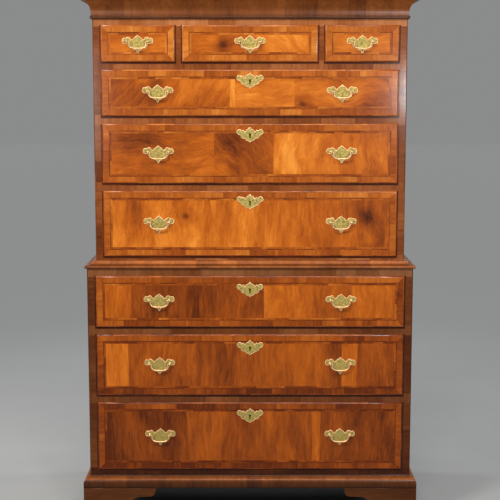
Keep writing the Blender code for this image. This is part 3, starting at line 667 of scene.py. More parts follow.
@dataclass
class Maker:
    """The maker of a sub-assembly, with a bench where the points and faces of one piece are drafted.

    shop has the finishes, name is the sub-assembly's own, and body is what carries its pieces.
    Each face on the bench goes with its leaf and the number of its finish.
    """

    shop: Workshop
    name: str
    body: str
    points: list[Point] = field(default_factory=list, init=False)
    faces: list[tuple[Sequence[int], Leaf, int]] = field(default_factory=list, init=False)

    def add_loop(self, loop: Sequence[Point]) -> list[int]:
        """Add points and return their numbers."""
        self.points += loop
        return list(range(len(self.points) - len(loop), len(self.points)))

    def add_face(self, corners: Sequence[int], leaf: Leaf, finish: int = 0) -> None:
        """Add a face from the numbers of its points, in order round it."""
        self.faces.append((corners, leaf, finish))

    def bridge(self, ring: Sequence[int], following: Sequence[int], leaf: Leaf, finish: int = 0) -> None:
        """Join two rings of equal length with a band of four-cornered faces.

        Args:
            ring: Numbers of the first ring's points.
            following: Numbers of the second ring's points.
            leaf: The band's leaf.
            finish: Number of its finish.
        """
        count = len(ring)
        for i in range(count):
            j = (i + 1) % count
            self.add_face((ring[i], ring[j], following[j], following[i]), leaf, finish)

    def add_skin(
        self, loops: Sequence[Sequence[Point]], leaves: Sequence[Leaf] = (Leaf(),), finish: int = 0,
        closed: bool = False,
    ) -> None:
        """Stretch a skin over loops of points.

        Args:
            loops: Loops of equal length, in order.
            leaves: One leaf for each step between loops. The last one serves for any that lack one.
            finish: Number of its finish.
            closed: Whether the last loop joins the first. If not, both ends are capped.
        """
        rings = [self.add_loop(loop) for loop in loops]
        steps = list(zip(rings, rings[1:]))
        if closed:
            steps.append((rings[-1], rings[0]))
        for number, (ring, following) in enumerate(steps):
            self.bridge(ring, following, leaves[min(number, len(leaves) - 1)], finish)
        if not closed:
            self.add_face(rings[0], leaves[0], finish)
            self.add_face(rings[-1], leaves[-1], finish)

    def add_box(self, low: Point, high: Point, leaf: Leaf = Leaf(), finish: int = 0) -> None:
        """Add a board between two corners."""
        loops = [rectangle((low[0], low[2]), (high[0], high[2]), y) for y in (low[1], high[1])]
        self.add_skin(loops, [leaf], finish)

    def add_prism(
        self, outline: Sequence[Flat], way: Along, start: float, end: float, leaf: Leaf, finish: int = 0
    ) -> None:
        """Add an outline carried straight from start to end."""
        loops = [[way.place(corner, run) for corner in outline] for run in (start, end)]
        self.add_skin(loops, [leaf], finish)

    def add_panel(
        self, quad: Sequence[Flat], window: tuple[Flat, Flat] | None, front: float, back: float,
        leaf: Leaf, finish: int = 0,
    ) -> None:
        """Add a four-cornered upright board, which can have a rectangular hole right through it.

        Args:
            quad: (x, z) corners of the board, from the lowest left one on, to the right first.
            window: Lowest and highest (x, z) corners of the hole, or None.
            front: Depth of its front face.
            back: Depth of its back face.
            leaf: The board's leaf.
            finish: Number of its finish.
        """
        loops = [[(x, y, z) for x, z in quad] for y in (front, back)]
        if window:
            loops = [rectangle(*window, front), *loops, rectangle(*window, back)]
        self.add_skin(loops, [leaf], finish, closed=bool(window))

    def add_plate(self, outline: Sequence[Flat], layers: Sequence[Flat], hole: Sequence[Flat] = ()) -> None:
        """Add a flat upright plate with shaped edges. Its edges take the first finish, its faces the second.

        Args:
            outline: Its (x, z) outline.
            layers: (depth, inset) of the outline from the back face to the front face.
            hole: Outline of a hole right through it, if it has one.
        """
        rings = []
        for y, inset in layers:
            rings.append(self.add_loop([(x, y, z) for x, z in inset_outline(outline, inset)]))
        for ring, following in zip(rings, rings[1:]):
            self.bridge(ring, following, Leaf())
        holes = []
        if hole:
            holes = [self.add_loop([(x, y, z) for x, z in hole]) for y in (layers[0][0], layers[-1][0])]
            self.bridge(*holes, Leaf())
        for number, ring in ((0, rings[0]), (1, rings[-1])):
            edge = [ring] + ([holes[number]] if holes else [])
            numbers = [index for loop in edge for index in loop]
            shapes = [[Vector(self.points[index]) for index in loop] for loop in edge]
            for triangle in tessellate_polygon(shapes):
                self.add_face([numbers[corner] for corner in triangle], Leaf(), 1)

    def to_piece(
        self, ending: str, slot: Slot, finishes: Sequence[bpy.types.Material],
        replaces: Sequence[str] = (), smooth: bool = True, edge: float = 0.0, body: str = "",
    ) -> None:
        """Make the drafted piece, hang it on its body and clear the bench.

        Args:
            ending: What its name adds to the maker's.
            slot: The record's slot that its finish comes from. Not used.
            finishes: Materials, in the order that the faces name them.
            replaces: Nodes that it stands for.
            smooth: Whether its curves are shaded smooth.
            edge: Width of the worn round on its edges, or 0.
            body: The body that carries it, if not the maker's own.
        """
        name = self.name + ending
        body = body or self.body
        mesh = bpy.data.meshes.new(name)
        faces, leaves, numbers = zip(*self.faces)
        mesh.from_pydata(self.points, [], faces)
        mesh.polygons.foreach_set("material_index", numbers)
        for key in ("seed", "tone", "shade", "curl"):
            layer = mesh.attributes.new(key, "FLOAT", "FACE")
            layer.data.foreach_set("value", [getattr(leaf, key) for leaf in leaves])
        for key in ("grain", "knot", "drift"):
            layer = mesh.attributes.new(key, "FLOAT_VECTOR", "FACE")
            layer.data.foreach_set("vector", [part for leaf in leaves for part in getattr(leaf, key)])
        shape = bmesh.new()
        shape.from_mesh(mesh)
        bmesh.ops.recalc_face_normals(shape, faces=shape.faces)
        shape.to_mesh(mesh)
        shape.free()
        for finish in finishes:
            mesh.materials.append(finish)
        if smooth:
            mesh.shade_smooth()
            mesh.set_sharp_from_angle(angle=SMOOTH_ANGLE)
        piece = bpy.data.objects.new(name, mesh)
        bpy.context.scene.collection.objects.link(piece)
        if edge > 0.0:
            worn = piece.modifiers.new("worn_edge", "BEVEL")
            worn.width = edge
            worn.segments = WORN_STEPS
            worn.limit_method = "ANGLE"
            worn.angle_limit = WORN_ANGLE
            worn.use_clamp_overlap = True
        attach(piece, body)
        if replaces:
            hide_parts(*replaces)
        LOG.info("%s rides on %s", name, body)
        self.points, self.faces = [], []


@dataclass(frozen=True)
class Cut:
    """One leaf of a drawer's field: where it ends, as a share of the field's width, and its looks.

    lean is how much further right its end lies at the top than at the bottom, as a share of the
    width. end_tone is its tone on the right, where that differs. same_log lays it as a part of the
    leaf before it. knot_shares is where its knot lies, as shares of the field's width and height.
    """

    end_share: float
    tone: float
    end_tone: float | None = None
    grain: Point = ALONG_Z
    curl: float = 1.0
    lean: float = 0.0
    same_log: bool = False
    knot_shares: Flat | None = None


@dataclass(frozen=True)
class FrontLook:
    """How one drawer's front is veneered.

    band_tone is the middle tone of its bands and lip, and foot_tone is added along the bottom.
    shade is how light its old polish is, and a calm field has a quieter figure.
    """

    leaves: tuple[Cut, ...]
    band_tone: float = 0.0
    shade: float = 1.0
    foot_tone: float = 0.0
    calm: bool = False


RISING: Point = (0.60, 0.0, 0.80)
FALLING: Point = (-0.64, 0.0, 0.77)

FRONT_LOOKS: dict[str, FrontLook] = {
    "short_left": FrontLook((Cut(1.0, 0.02, 0.22, ALONG_X, 1.8),), 0.16),
    "short_middle": FrontLook(
        (
            Cut(0.20, 0.30, 0.50, ALONG_X, 1.8, knot_shares=(0.27, 0.45)),
            Cut(0.45, 0.50, 0.16, ALONG_X, 1.8, same_log=True, knot_shares=(0.27, 0.45)),
            Cut(0.68, 0.16, 0.50, FALLING, 2.2), Cut(1.0, 0.50, 0.16, FALLING, 2.2, same_log=True),
        ),
        0.20,
    ),
    "short_right": FrontLook((Cut(1.0, 0.16, 0.36, ALONG_X, 1.8),), 0.14, 0.95),
    "upper_first": FrontLook(
        (
            Cut(0.200, -0.12, -0.12, RISING, 2.6), Cut(0.428, -0.10, 0.52, RISING, 2.6, same_log=True),
            Cut(0.446, 0.62, 0.62), Cut(0.560, 0.16, 0.10, ALONG_X, 2.0),
            Cut(0.660, 0.10, 0.24, ALONG_X, 2.0, same_log=True),
            Cut(1.0, 0.08, -0.30, ALONG_X, 2.4, same_log=True, knot_shares=(0.69, 0.08)),
        ),
        0.10,
    ),
    "upper_second": FrontLook(
        (
            Cut(0.200, -0.22, -0.18, ALONG_X, 2.6), Cut(0.370, -0.18, -0.10, ALONG_X, 2.6, same_log=True),
            Cut(0.462, -0.16, -0.50, FALLING, 2.8), Cut(0.585, -0.46, -0.02, FALLING, 2.8, same_log=True),
            Cut(0.770, 0.34, 0.18, curl=2.4), Cut(1.0, 0.22, 0.00, curl=3.0, same_log=True),
        ),
        0.02,
    ),
    "upper_third": FrontLook(
        (
            Cut(0.335, 0.32, 0.20, curl=2.0, knot_shares=(0.265, 0.66)),
            Cut(0.385, 0.10, 0.10, lean=-0.03, same_log=True),
            Cut(0.490, 0.54, 0.40, curl=1.6, lean=-0.01), Cut(0.700, 0.06, 0.16, curl=1.4),
            Cut(1.0, 0.16, -0.06, curl=1.8, same_log=True, knot_shares=(0.93, 0.62)),
        ),
        0.02,
    ),
    # The lower drawers' tones are darker towards the floor: partly their wood, partly painted shade
    "lower_first": FrontLook(
        (
            Cut(0.087, 0.06, 0.16, lean=0.004), Cut(0.325, -0.46, -0.74),
            Cut(0.548, -0.62, -0.48, curl=1.6), Cut(0.640, 0.38, -0.06, curl=2.2),
            Cut(0.850, -0.10, 0.00, curl=1.6, same_log=True), Cut(1.0, 0.06, 0.00, curl=1.6),
        ),
        -0.14, foot_tone=-0.10, calm=True,
    ),
    "lower_second": FrontLook(
        (
            Cut(0.078, 0.24), Cut(0.315, -0.30), Cut(0.446, -0.34, -0.22),
            Cut(0.818, -0.22, -0.30, same_log=True), Cut(0.868, 0.16, lean=0.006), Cut(1.0, -0.26, -0.36),
        ),
        -0.32, foot_tone=-0.34, calm=True,
    ),
    "lower_third": FrontLook(
        (
            Cut(0.290, -0.68, lean=-0.012), Cut(0.360, 0.00, -0.16, lean=0.010), Cut(0.535, -0.18, -0.26),
            Cut(0.718, -0.26, -0.44, same_log=True), Cut(0.743, 0.04, lean=0.004), Cut(1.0, -0.58),
        ),
        -0.46, foot_tone=-0.22, calm=True,
    ),
}


@dataclass
class DrawerFront(Maker):
    """A lipped front: core, ovolo lip, crossband, feather band and a field of figured leaves."""

    look: FrontLook
    seed: int
    keyed: bool
    key_z: float = 0.0
    lip_overlap: float = 0.004
    lip_round: float = 0.0045
    lip_thickness: float = 0.007
    lip_steps: int = 6
    lip_tone: float = -0.16
    side_clearance: float = 0.0012
    top_clearance: float = 0.0015
    escutcheon_thickness: float = 0.0015
    crossband: float = 0.0212
    band_spread: float = 0.20
    dark_feather: float = 0.0026
    dark_feather_tone: float = -0.50
    light_feather: float = 0.0056
    light_feather_tone: float = -0.12
    feather_spread: float = 0.30
    feather_pitch: float = 0.042
    ground_shade: float = 0.9
    key_half_width: float = 0.0042
    key_rise: float = 0.0042
    key_drop: float = 0.0112
    band_pitch: float = 0.085

    def __post_init__(self) -> None:
        """Take the front's place from the frame."""
        self.node = f"{self.name}_drawer_front"
        low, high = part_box(self.node)
        raised = self.escutcheon_thickness if self.keyed else 0.0
        self.face_y = low.y + raised
        self.low = (low.x, low.z)
        self.high = (high.x, high.z)
        self.core_back = high.y
        self.lip_back = self.face_y + self.lip_thickness
        self.field_inset = self.crossband + self.dark_feather + self.light_feather
        self.draw = Random(self.seed)
        self.pile = LeafPile(self.seed, self.band_spread, self.look.shade, self.look.band_tone)
        self.feathers = LeafPile(self.seed + 1, self.feather_spread, self.look.shade, self.look.band_tone)

    def inner(self, inset: float) -> tuple[Flat, Flat]:
        """Corners of the face drawn in by a distance."""
        return (self.low[0] + inset, self.low[1] + inset), (self.high[0] - inset, self.high[1] - inset)

    def key_window(self) -> tuple[Flat, Flat]:
        """Corners of the hole for the key, behind the escutcheon."""
        half = self.key_half_width
        return (-half, self.key_z - self.key_drop), (half, self.key_z + self.key_rise)

    def draft_lip(self) -> None:
        """Draft the ovolo that runs round the face, in short cross-grained lengths."""
        curve = [(0.0, self.face_y + self.lip_round)]
        curve += quarter(curve[0], (self.lip_round, self.face_y), self.lip_steps, True)
        section = [(0.0, self.lip_back)] + curve + [(self.lip_round, self.lip_back)]
        loops, leaves = [], []
        for start, along, inwards, length in face_sides(self.low, self.high):
            across = ALONG_X if along.x == 0.0 else ALONG_Z
            joints = stations(0.0, length, self.band_pitch, self.draw)
            for number, joint in enumerate(joints[:-1]):
                loop = []
                for inset, y in section:
                    slide = inset if number == 0 else 0.0
                    spot = start + along * (joint + slide) + inwards * inset
                    loop.append((spot.x, y, spot.y))
                loops.append(loop)
                leaves.append(self.pile.deal(across, self.lip_tone))
        self.add_skin(loops, leaves, FrontSkin.LIP, closed=True)

    def draft_band(self, inset: float, width: float, deal: Callable[[Point], Leaf], pitch: float) -> None:
        """Draft a mitred band of leaves round the face.

        Args:
            inset: Distance from the lip's edge to the band.
            width: The band's width.
            deal: Picks a leaf from the direction along the band.
            pitch: Usual length of a leaf.
        """
        for start, along, inwards, length in face_sides(*self.inner(inset)):
            joints = stations(width, length - width, pitch, self.draw)
            joints[0], joints[-1] = 0.0, length
            for near, far in zip(joints, joints[1:]):
                quad = [
                    (near, 0.0), (far, 0.0),
                    (min(far, length - width), width), (max(near, width), width),
                ]
                spots = [start + along * run + inwards * depth for run, depth in quad]
                outline = inset_outline([(spot.x, spot.y) for spot in spots], HAIR / 2)
                leaf = deal((along.x, 0.0, along.y))
                back = self.face_y + VENEER
                self.add_panel(outline, None, self.face_y, back, leaf, FrontSkin.BAND)

    def draft_bands(self) -> None:
        """Draft the crossband and the two halves of the feather band."""
        def crossed(along: Point) -> Leaf:
            """A leaf with its grain across the band, darker along the bottom."""
            return self.pile.deal((along[2], 0.0, along[0]), self.look.foot_tone if along[0] > 0.0 else 0.0)

        def dark(along: Point) -> Leaf:
            """A dark leaf with its grain at a slant to the band."""
            slant = Vector((along[0] + along[2], 0.0, along[2] - along[0]))
            return self.feathers.deal(tuple(slant.normalized()), self.dark_feather_tone)

        def light(along: Point) -> Leaf:
            """A light leaf with its grain at the other slant."""
            slant = Vector((along[0] - along[2], 0.0, along[2] + along[0]))
            return self.feathers.deal(tuple(slant.normalized()), self.light_feather_tone)

        edge = self.lip_round
        spans = (
            (self.crossband - edge, crossed, self.band_pitch),
            (self.dark_feather, dark, self.feather_pitch),
            (self.light_feather, light, self.feather_pitch),
        )
        for width, deal, pitch in spans:
            self.draft_band(edge, width, deal, pitch)
            edge += width

    def draft_field(self) -> None:
        """Draft the field's leaves side by side, with the key's hole in the leaf that it meets."""
        (left, bottom), (right, top) = self.inner(self.field_inset)
        width, height = right - left, top - bottom
        near_low = near_high = left
        seed = self.draw.uniform(*LOG_PLACES)
        window = self.key_window()
        for look in self.look.leaves:
            far_low = left + width * look.end_share
            far_high = far_low + width * look.lean
            knot = NO_KNOT
            if look.knot_shares:
                across, up = look.knot_shares
                knot = (left + width * across, self.face_y, bottom + height * up)
            seed = seed if look.same_log else self.draw.uniform(*LOG_PLACES)
            end_tone = look.tone if look.end_tone is None else look.end_tone
            drift = (end_tone - look.tone) / (far_low - near_low)
            leaf = Leaf(
                seed=seed, tone=look.tone - drift * near_low, shade=self.look.shade, curl=look.curl,
                grain=look.grain, knot=knot, drift=(drift, 0.0, 0.0),
            )
            quad = inset_outline(
                [(near_low, bottom), (far_low, bottom), (far_high, top), (near_high, top)], HAIR / 2
            )
            back = self.face_y + VENEER
            pierced = self.keyed and near_high < window[0][0] and window[1][0] < far_high
            hole = window if pierced else None
            self.add_panel(quad, hole, self.face_y, back, leaf, FrontSkin.FIELD)
            near_low, near_high = far_low, far_high

    def draft_ground(self) -> None:
        """Draft the plate under the veneer and the core that fits the opening."""
        leaf = Leaf(seed=self.draw.uniform(*LOG_PLACES), shade=self.ground_shade)
        (left, bottom), (right, top) = self.inner(self.lip_round + HAIR)
        plate = ((left, self.face_y + VENEER + HAIR, bottom), (right, self.lip_back, top))
        core_side = self.lip_overlap + self.side_clearance
        core = (
            (self.low[0] + core_side, self.lip_back + HAIR, self.low[1] + self.lip_overlap + SEAT_GAP),
            (self.high[0] - core_side, self.core_back, self.high[1] - self.lip_overlap - self.top_clearance),
        )
        window = self.key_window() if self.keyed else None
        for low, high in (plate, core):
            quad = [(x, z) for x, _, z in rectangle((low[0], low[2]), (high[0], high[2]), 0.0)]
            self.add_panel(quad, window, low[1], high[1], leaf, FrontSkin.GROUND)

    def build(self) -> None:
        """Build the whole front."""
        self.draft_lip()
        self.draft_bands()
        self.draft_field()
        self.draft_ground()
        figured = self.shop.calm_field if self.look.calm else self.shop.field
        finishes = [figured, self.shop.band, self.shop.oak, self.shop.lip]
        self.to_piece("_front", Slot.VENEER, finishes, [self.node])


# Right halves of the brass plates, top to bottom: shares of the half width, and of the rise above
# or drop below the posts, or of the half height. The listed corners turn sharply.
PLATE_SHARES = (
    (0.00, 1.00), (0.09, 0.80), (0.22, 0.60), (0.35, 0.28), (0.42, 0.42), (0.52, 0.68),
    (0.66, 0.68), (0.75, 0.52), (0.84, 0.60), (0.95, 0.44), (1.00, 0.10), (0.92, -0.15),
    (0.66, -0.17), (0.61, -0.34), (0.56, -0.48), (0.46, -0.58), (0.34, -0.56), (0.24, -0.70),
    (0.11, -0.75), (0.07, -0.90), (0.00, -1.00),
)
PLATE_CORNERS = (3, 7, 12, 16, 18)
ESCUTCHEON_SHARES = (
    (0.00, 1.00), (0.12, 0.76), (0.28, 0.62), (0.36, 0.38), (0.48, 0.62), (0.62, 0.52),
    (0.74, 0.70), (0.92, 0.62), (1.00, 0.28), (0.88, 0.02), (0.72, -0.08), (0.62, -0.42),
    (0.40, -0.50), (0.26, -0.74), (0.10, -0.80), (0.00, -1.00),
)
ESCUTCHEON_CORNERS = (3, 5, 10, 12, 14)
OUTLINE_STEPS = 4
RIM_SLOPE = 0.0006
RIM_WIDTH = 0.0016
RIM_RISE = 0.0004
# (depth, inset) of a cast rim's steps, from its outer edge to the sunk face
RIM = (
    (RIM_SLOPE, 0.0), (RIM_SLOPE / 4, RIM_SLOPE / 2), (0.0, RIM_SLOPE), (0.0, RIM_WIDTH),
    (RIM_RISE, RIM_WIDTH + RIM_RISE),
)


def rimmed(back: float, front: float) -> list[Flat]:
    """(depth, inset) layers of a cast plate with a raised rim, from its back to its sunk face."""
    return [(back, 0.0)] + [(front + step, inset) for step, inset in RIM]


@dataclass
class Escutcheon(Maker):
    """The pierced brass plate of a lock, flush on the drawer's face."""

    face_y: float
    middle_z: float
    width: float = 0.083
    height: float = 0.050
    thickness: float = 0.0015
    key_radius: float = 0.0034
    key_slot_width: float = 0.0036
    key_slot_length: float = 0.0108
    key_steps: int = 12

    def keyhole(self) -> list[Flat]:
        """Draw the keyhole.

        Returns:
            Its outline about its round's middle.
        """
        half_slot = self.key_slot_width / 2
        start = math.asin(half_slot / self.key_radius)
        right = [(0.0, self.key_radius)]
        for step in range(1, self.key_steps + 1):
            turn = (math.pi - start) * step / self.key_steps
            right.append((self.key_radius * math.sin(turn), self.key_radius * math.cos(turn)))
        right += [(half_slot, -self.key_slot_length), (0.0, -self.key_slot_length)]
        return mirrored(right)

    def build(self) -> None:
        """Build the plate with its keyhole."""
        shares = [(x * self.width / 2, z * self.height / 2) for x, z in ESCUTCHEON_SHARES]
        half = smooth_outline(shares, ESCUTCHEON_CORNERS, OUTLINE_STEPS)
        outline = [(x, z + self.middle_z) for x, z in mirrored(half)]
        hole = [(x, z + self.middle_z) for x, z in self.keyhole()]
        layers = rimmed(self.face_y - HAIR, self.face_y - self.thickness)
        self.add_plate(outline, layers, hole)
        finishes = [self.shop.brass, self.shop.aged_brass]
        self.to_piece("_escutcheon", Slot.BRASS, finishes)


@dataclass
class Handle(Maker):
    """A bat-wing plate with two posts and their nuts, and the bail that swings in them."""

    core_back: float
    post_spacing: float = 0.065
    plate_wing: float = 0.0155
    plate_rise: float = 0.021
    plate_drop: float = 0.035
    plate_thickness: float = 0.0016
    standoff: float = 0.0085
    head_radius: float = 0.0038
    stem_radius: float = 0.0023
    collar_radius: float = 0.0044
    collar_height: float = 0.0012
    collar_top_share: float = 0.62
    collar_steps: int = 4
    stem_steps: int = 3
    head_steps: int = 12
    pin_radius: float = 0.0014
    tip_setback: float = 0.001
    leg_radius: float = 0.0018
    grip_radius: float = 0.0025
    bail_gap: float = 0.0012
    bail_drop: float = 0.0205
    bail_squareness: float = 3.6
    bail_steps: int = 36
    knop_span: float = 0.16
    knop_share: float = 0.28
    rod_sides: int = 12
    post_sides: int = 20
    bolt_radius: float = 0.0022
    bolt_reach: float = 0.006
    bolt_end_shares: Flat = (0.6, 0.8)
    nut_half: float = 0.0055
    nut_height: float = 0.003
    nut_chamfer: float = 0.0008

    def __post_init__(self) -> None:
        """Take the handle's place from the frame."""
        low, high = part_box(f"{self.name}_handle_plate")
        self.x = (low.x + high.x) / 2
        self.z = high.z - self.plate_rise
        self.back = high.y
        self.front = self.back - self.plate_thickness
        self.axis_y = self.front - self.standoff

    def turned(self, x: float, profile: Sequence[Flat], sides: int) -> None:
        """Turn a profile of (radius, depth) about the post's line at x."""
        self.add_skin([circle(x, y, self.z, radius, sides) for radius, y in profile])

    def post_profile(self) -> list[Flat]:
        """Draw a post: collar, waisted stem, round head and a small tip.

        Returns:
            (radius, depth) points, from the plate on.
        """
        collar_front = self.front - self.collar_height
        collar_top = (self.collar_radius * self.collar_top_share, collar_front)
        head_back = self.axis_y + self.head_radius
        neck = (self.stem_radius, (collar_front + head_back) / 2)
        profile = [(self.collar_radius, self.front + RIM_RISE)]
        profile += quarter(profile[0], collar_top, self.collar_steps, True)
        profile += quarter(profile[-1], neck, self.stem_steps, False)
        profile.append((self.stem_radius, head_back + self.collar_height / 3))
        for step in range(1, self.head_steps):
            turn = math.pi * step / self.head_steps
            radius = max(self.head_radius * math.sin(turn), self.stem_radius / 2)
            profile.append((radius, self.axis_y + self.head_radius * math.cos(turn)))
        return profile

    def build_plate(self) -> None:
        """Build the plate, its posts and the nuts inside the drawer."""
        half_width = self.post_spacing / 2 + self.plate_wing
        rise, drop = self.plate_rise, self.plate_drop
        shares = [(x * half_width, z * (rise if z > 0 else drop)) for x, z in PLATE_SHARES]
        half = smooth_outline(shares, PLATE_CORNERS, OUTLINE_STEPS)
        outline = [(x + self.x, z + self.z) for x, z in mirrored(half)]
        self.add_plate(outline, rimmed(self.back, self.front))
        for side in (-1, 1):
            post_x = self.x + side * self.post_spacing / 2
            self.turned(post_x, self.post_profile(), self.post_sides)
            self.draft_nut(post_x)
        finishes = [self.shop.brass, self.shop.aged_brass]
        node = f"{self.name}_handle_plate"
        self.to_piece("_plate", Slot.BRASS, finishes, [node])

    def draft_nut(self, x: float) -> None:
        """Draft a square nut and the bolt's end on the back of the drawer front.

        Args:
            x: The post's place from left to right.
        """
        start = self.core_back + HAIR
        nut_back = start + self.nut_height
        end_radius, end_reach = self.bolt_end_shares
        bolt = (
            (self.bolt_radius, nut_back + HAIR), (self.bolt_radius, nut_back + self.bolt_reach * end_reach),
            (self.bolt_radius * end_radius, nut_back + self.bolt_reach),
        )
        self.turned(x, bolt, self.rod_sides)
        corner = self.nut_half * math.sqrt(2)
        nut = ((corner, start), (corner, nut_back - self.nut_chamfer), (corner - self.nut_chamfer, nut_back))
        self.turned(x, nut, 4)

    def bail_line(self) -> list[tuple[Point, float]]:
        """Draw the bail's middle line, about the line of its pins.

        Returns:
            (place, radius) from one pin's tip to the other's.
        """
        half_span = self.post_spacing / 2 - self.head_radius - self.bail_gap - self.leg_radius
        tip = self.post_spacing / 2 + self.head_radius - self.tip_setback
        root = half_span + self.leg_radius + self.bail_gap / 2
        line = [((-tip, 0.0, 0.0), self.pin_radius), ((-root, 0.0, 0.0), self.pin_radius)]
        for step in range(self.bail_steps + 1):
            turn = math.pi * step / self.bail_steps
            cosine = math.cos(turn)
            across = -math.copysign(abs(cosine) ** (2 / self.bail_squareness), cosine)
            down = max(math.sin(turn), 0.0) ** (2 / self.bail_squareness)
            swell = math.sin(turn) ** 2
            knop = math.exp(-((turn - math.pi / 2) / self.knop_span) ** 2)
            grip = (1 - self.knop_share) * swell + self.knop_share * knop
            radius = self.leg_radius + (self.grip_radius - self.leg_radius) * grip
            line.append(((across * half_span, 0.0, -down * self.bail_drop), radius))
        line += [((root, 0.0, 0.0), self.pin_radius), ((tip, 0.0, 0.0), self.pin_radius)]
        return line

    def build_bail(self) -> None:
        """Build the bail as one bent rod on its own body."""
        line = self.bail_line()
        loops = []
        for number, ((x, _, z), radius) in enumerate(line):
            before = line[max(number - 1, 0)][0]
            after = line[min(number + 1, len(line) - 1)][0]
            way = Vector((after[0] - before[0], after[2] - before[2])).normalized()
            loop = []
            for side in range(self.rod_sides):
                turn = math.tau * side / self.rod_sides
                out, ahead = radius * math.cos(turn), radius * math.sin(turn)
                loop.append((self.x + x - way.y * out, self.axis_y + ahead, self.z + z + way.x * out))
            loops.append(loop)
        self.add_skin(loops)
        node = f"{self.name}_bail"
        self.to_piece("_bail_rod", Slot.BRASS, [self.shop.brass], [node], body=node)


@dataclass
class BoxLock(Maker):
    """An iron box lock let against the back of a drawer front, with a pin in its keyhole."""

    core_back: float
    key_z: float
    half_width: float = 0.030
    rise: float = 0.022
    drop: float = 0.024
    depth: float = 0.009
    plate: float = 0.0015
    pin_radius: float = 0.0010
    screw_radius: float = 0.0030
    screw_taper: float = 0.7
    screw_inset: float = 0.006
    sides: int = 10
    edge: float = 0.0003

    def build(self) -> None:
        """Build the lock's case, its pin and its four screws."""
        front = self.core_back + HAIR
        low = (-self.half_width, front, self.key_z - self.drop)
        high = (self.half_width, front + self.plate, self.key_z + self.rise)
        self.add_box(low, high)
        case_half = self.half_width - 2 * self.screw_inset
        self.add_box(
            (-case_half, high[1] + HAIR, low[2] + self.plate),
            (case_half, front + self.depth, high[2] - self.plate),
        )
        for side in (-1, 1):
            for z in (low[2] + self.screw_inset, high[2] - self.screw_inset):
                x = side * (self.half_width - self.screw_inset)
                foot = circle(x, high[1] + HAIR, z, self.screw_radius, self.sides)
                head = circle(x, high[1] + self.plate, z, self.screw_radius * self.screw_taper, self.sides)
                self.add_skin([foot, head])
        ends = (front - HAIR, front - self.depth)
        self.add_skin([circle(0.0, y, self.key_z, self.pin_radius, self.sides) for y in ends])
        self.to_piece("_lock", Slot.BRASS, [self.shop.iron], smooth=False, edge=self.edge)


@dataclass
class DrawerLining(Maker):
    """A drawer's box behind its front: dovetailed sides and back, a boarded bottom and two runners."""

    seed: int
    side: float = 0.010
    back: float = 0.010
    bottom: float = 0.007
    runner: float = 0.004
    back_drop: float = 0.012
    board_width: float = 0.150
    tail_pitch: float = 0.042
    pin_narrow: float = 0.0060
    pin_wide: float = 0.0110
    pin_tone: float = -0.35
    runner_tone: float = -0.1
    board_spread: float = 0.22
    edge: float = 0.0005

    def build(self) -> None:
        """Build the box from its boards."""
        node = f"{self.name}_drawer_lining"
        low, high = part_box(node)
        pile = LeafPile(self.seed, self.board_spread)
        floor_top = low.z + self.runner + self.bottom
        foot = floor_top + HAIR
        back_top = high.z - self.back_drop
        count = max(2, round((back_top - foot) / self.tail_pitch))
        pins = [foot + (back_top - foot) * (number + 0.5) / count for number in range(count)]
        back_front = high.y - self.back

        def socket(z: float, slack: float) -> list[Flat]:
            """Outline of a pin, from its narrow end below to its narrow end above."""
            narrow, wide, inner = self.pin_narrow / 2 - slack, self.pin_wide / 2 - slack, back_front + slack
            return [(high.y, z - narrow), (inner, z - wide), (inner, z + wide), (high.y, z + narrow)]

        outline = [(low.y, foot), (high.y, foot)]
        for z in pins:
            outline += socket(z, 0.0)
        outline += [(high.y, high.z), (low.y, high.z)]
        for left, right in ((low.x, low.x + self.side), (high.x - self.side, high.x)):
            self.add_prism(outline, Along.RIGHT, left, right, pile.deal(ALONG_Y))
            for z in pins:
                leaf = pile.deal(ALONG_X, self.pin_tone)
                self.add_prism(socket(z, HAIR), Along.RIGHT, left, right, leaf)
            corners = (left, low.y, low.z), (right, high.y, low.z + self.runner - HAIR)
            self.add_box(*corners, pile.deal(ALONG_Y, self.runner_tone))
        self.add_box(
            (low.x + self.side + HAIR, back_front, foot),
            (high.x - self.side - HAIR, high.y, back_top), pile.deal(ALONG_X),
        )
        joints = stations(low.x, high.x, self.board_width, pile.draw)
        for near, far in zip(joints, joints[1:]):
            self.add_box(
                (near + HAIR, low.y, low.z + self.runner), (far - HAIR, high.y, floor_top),
                pile.deal(ALONG_Y),
            )
        self.to_piece("_drawer_box", Slot.OAK, [self.shop.oak], [node], False, self.edge)


@dataclass
class Drawer:
    """One drawer with all that it carries. handles gives the endings of its handles' names."""

    name: str
    seed: int
    handles: tuple[str, ...] = ("_left", "_right")
    keyed: bool = True
    escutcheon_margin: float = 0.009

    def build(self, shop: Workshop) -> None:
        """Build the front, the box, the lock and the brass.

        Args:
            shop: The finishes.
        """
        body = f"{self.name}_drawer"
        front = DrawerFront(shop, self.name, body, FRONT_LOOKS[self.name], self.seed, self.keyed)
        brass = Escutcheon(shop, self.name, body, front.face_y, 0.0)
        brass.middle_z = front.key_z = front.high[1] - self.escutcheon_margin - brass.height / 2
        front.build()
        DrawerLining(shop, self.name, body, self.seed + 50).build()
        if self.keyed:
            brass.build()
            BoxLock(shop, self.name, body, front.core_back, brass.middle_z).build()
        for ending in self.handles:
            handle = Handle(shop, f"{self.name}{ending}", body, front.core_back)
            handle.build_plate()
            handle.build_bail()


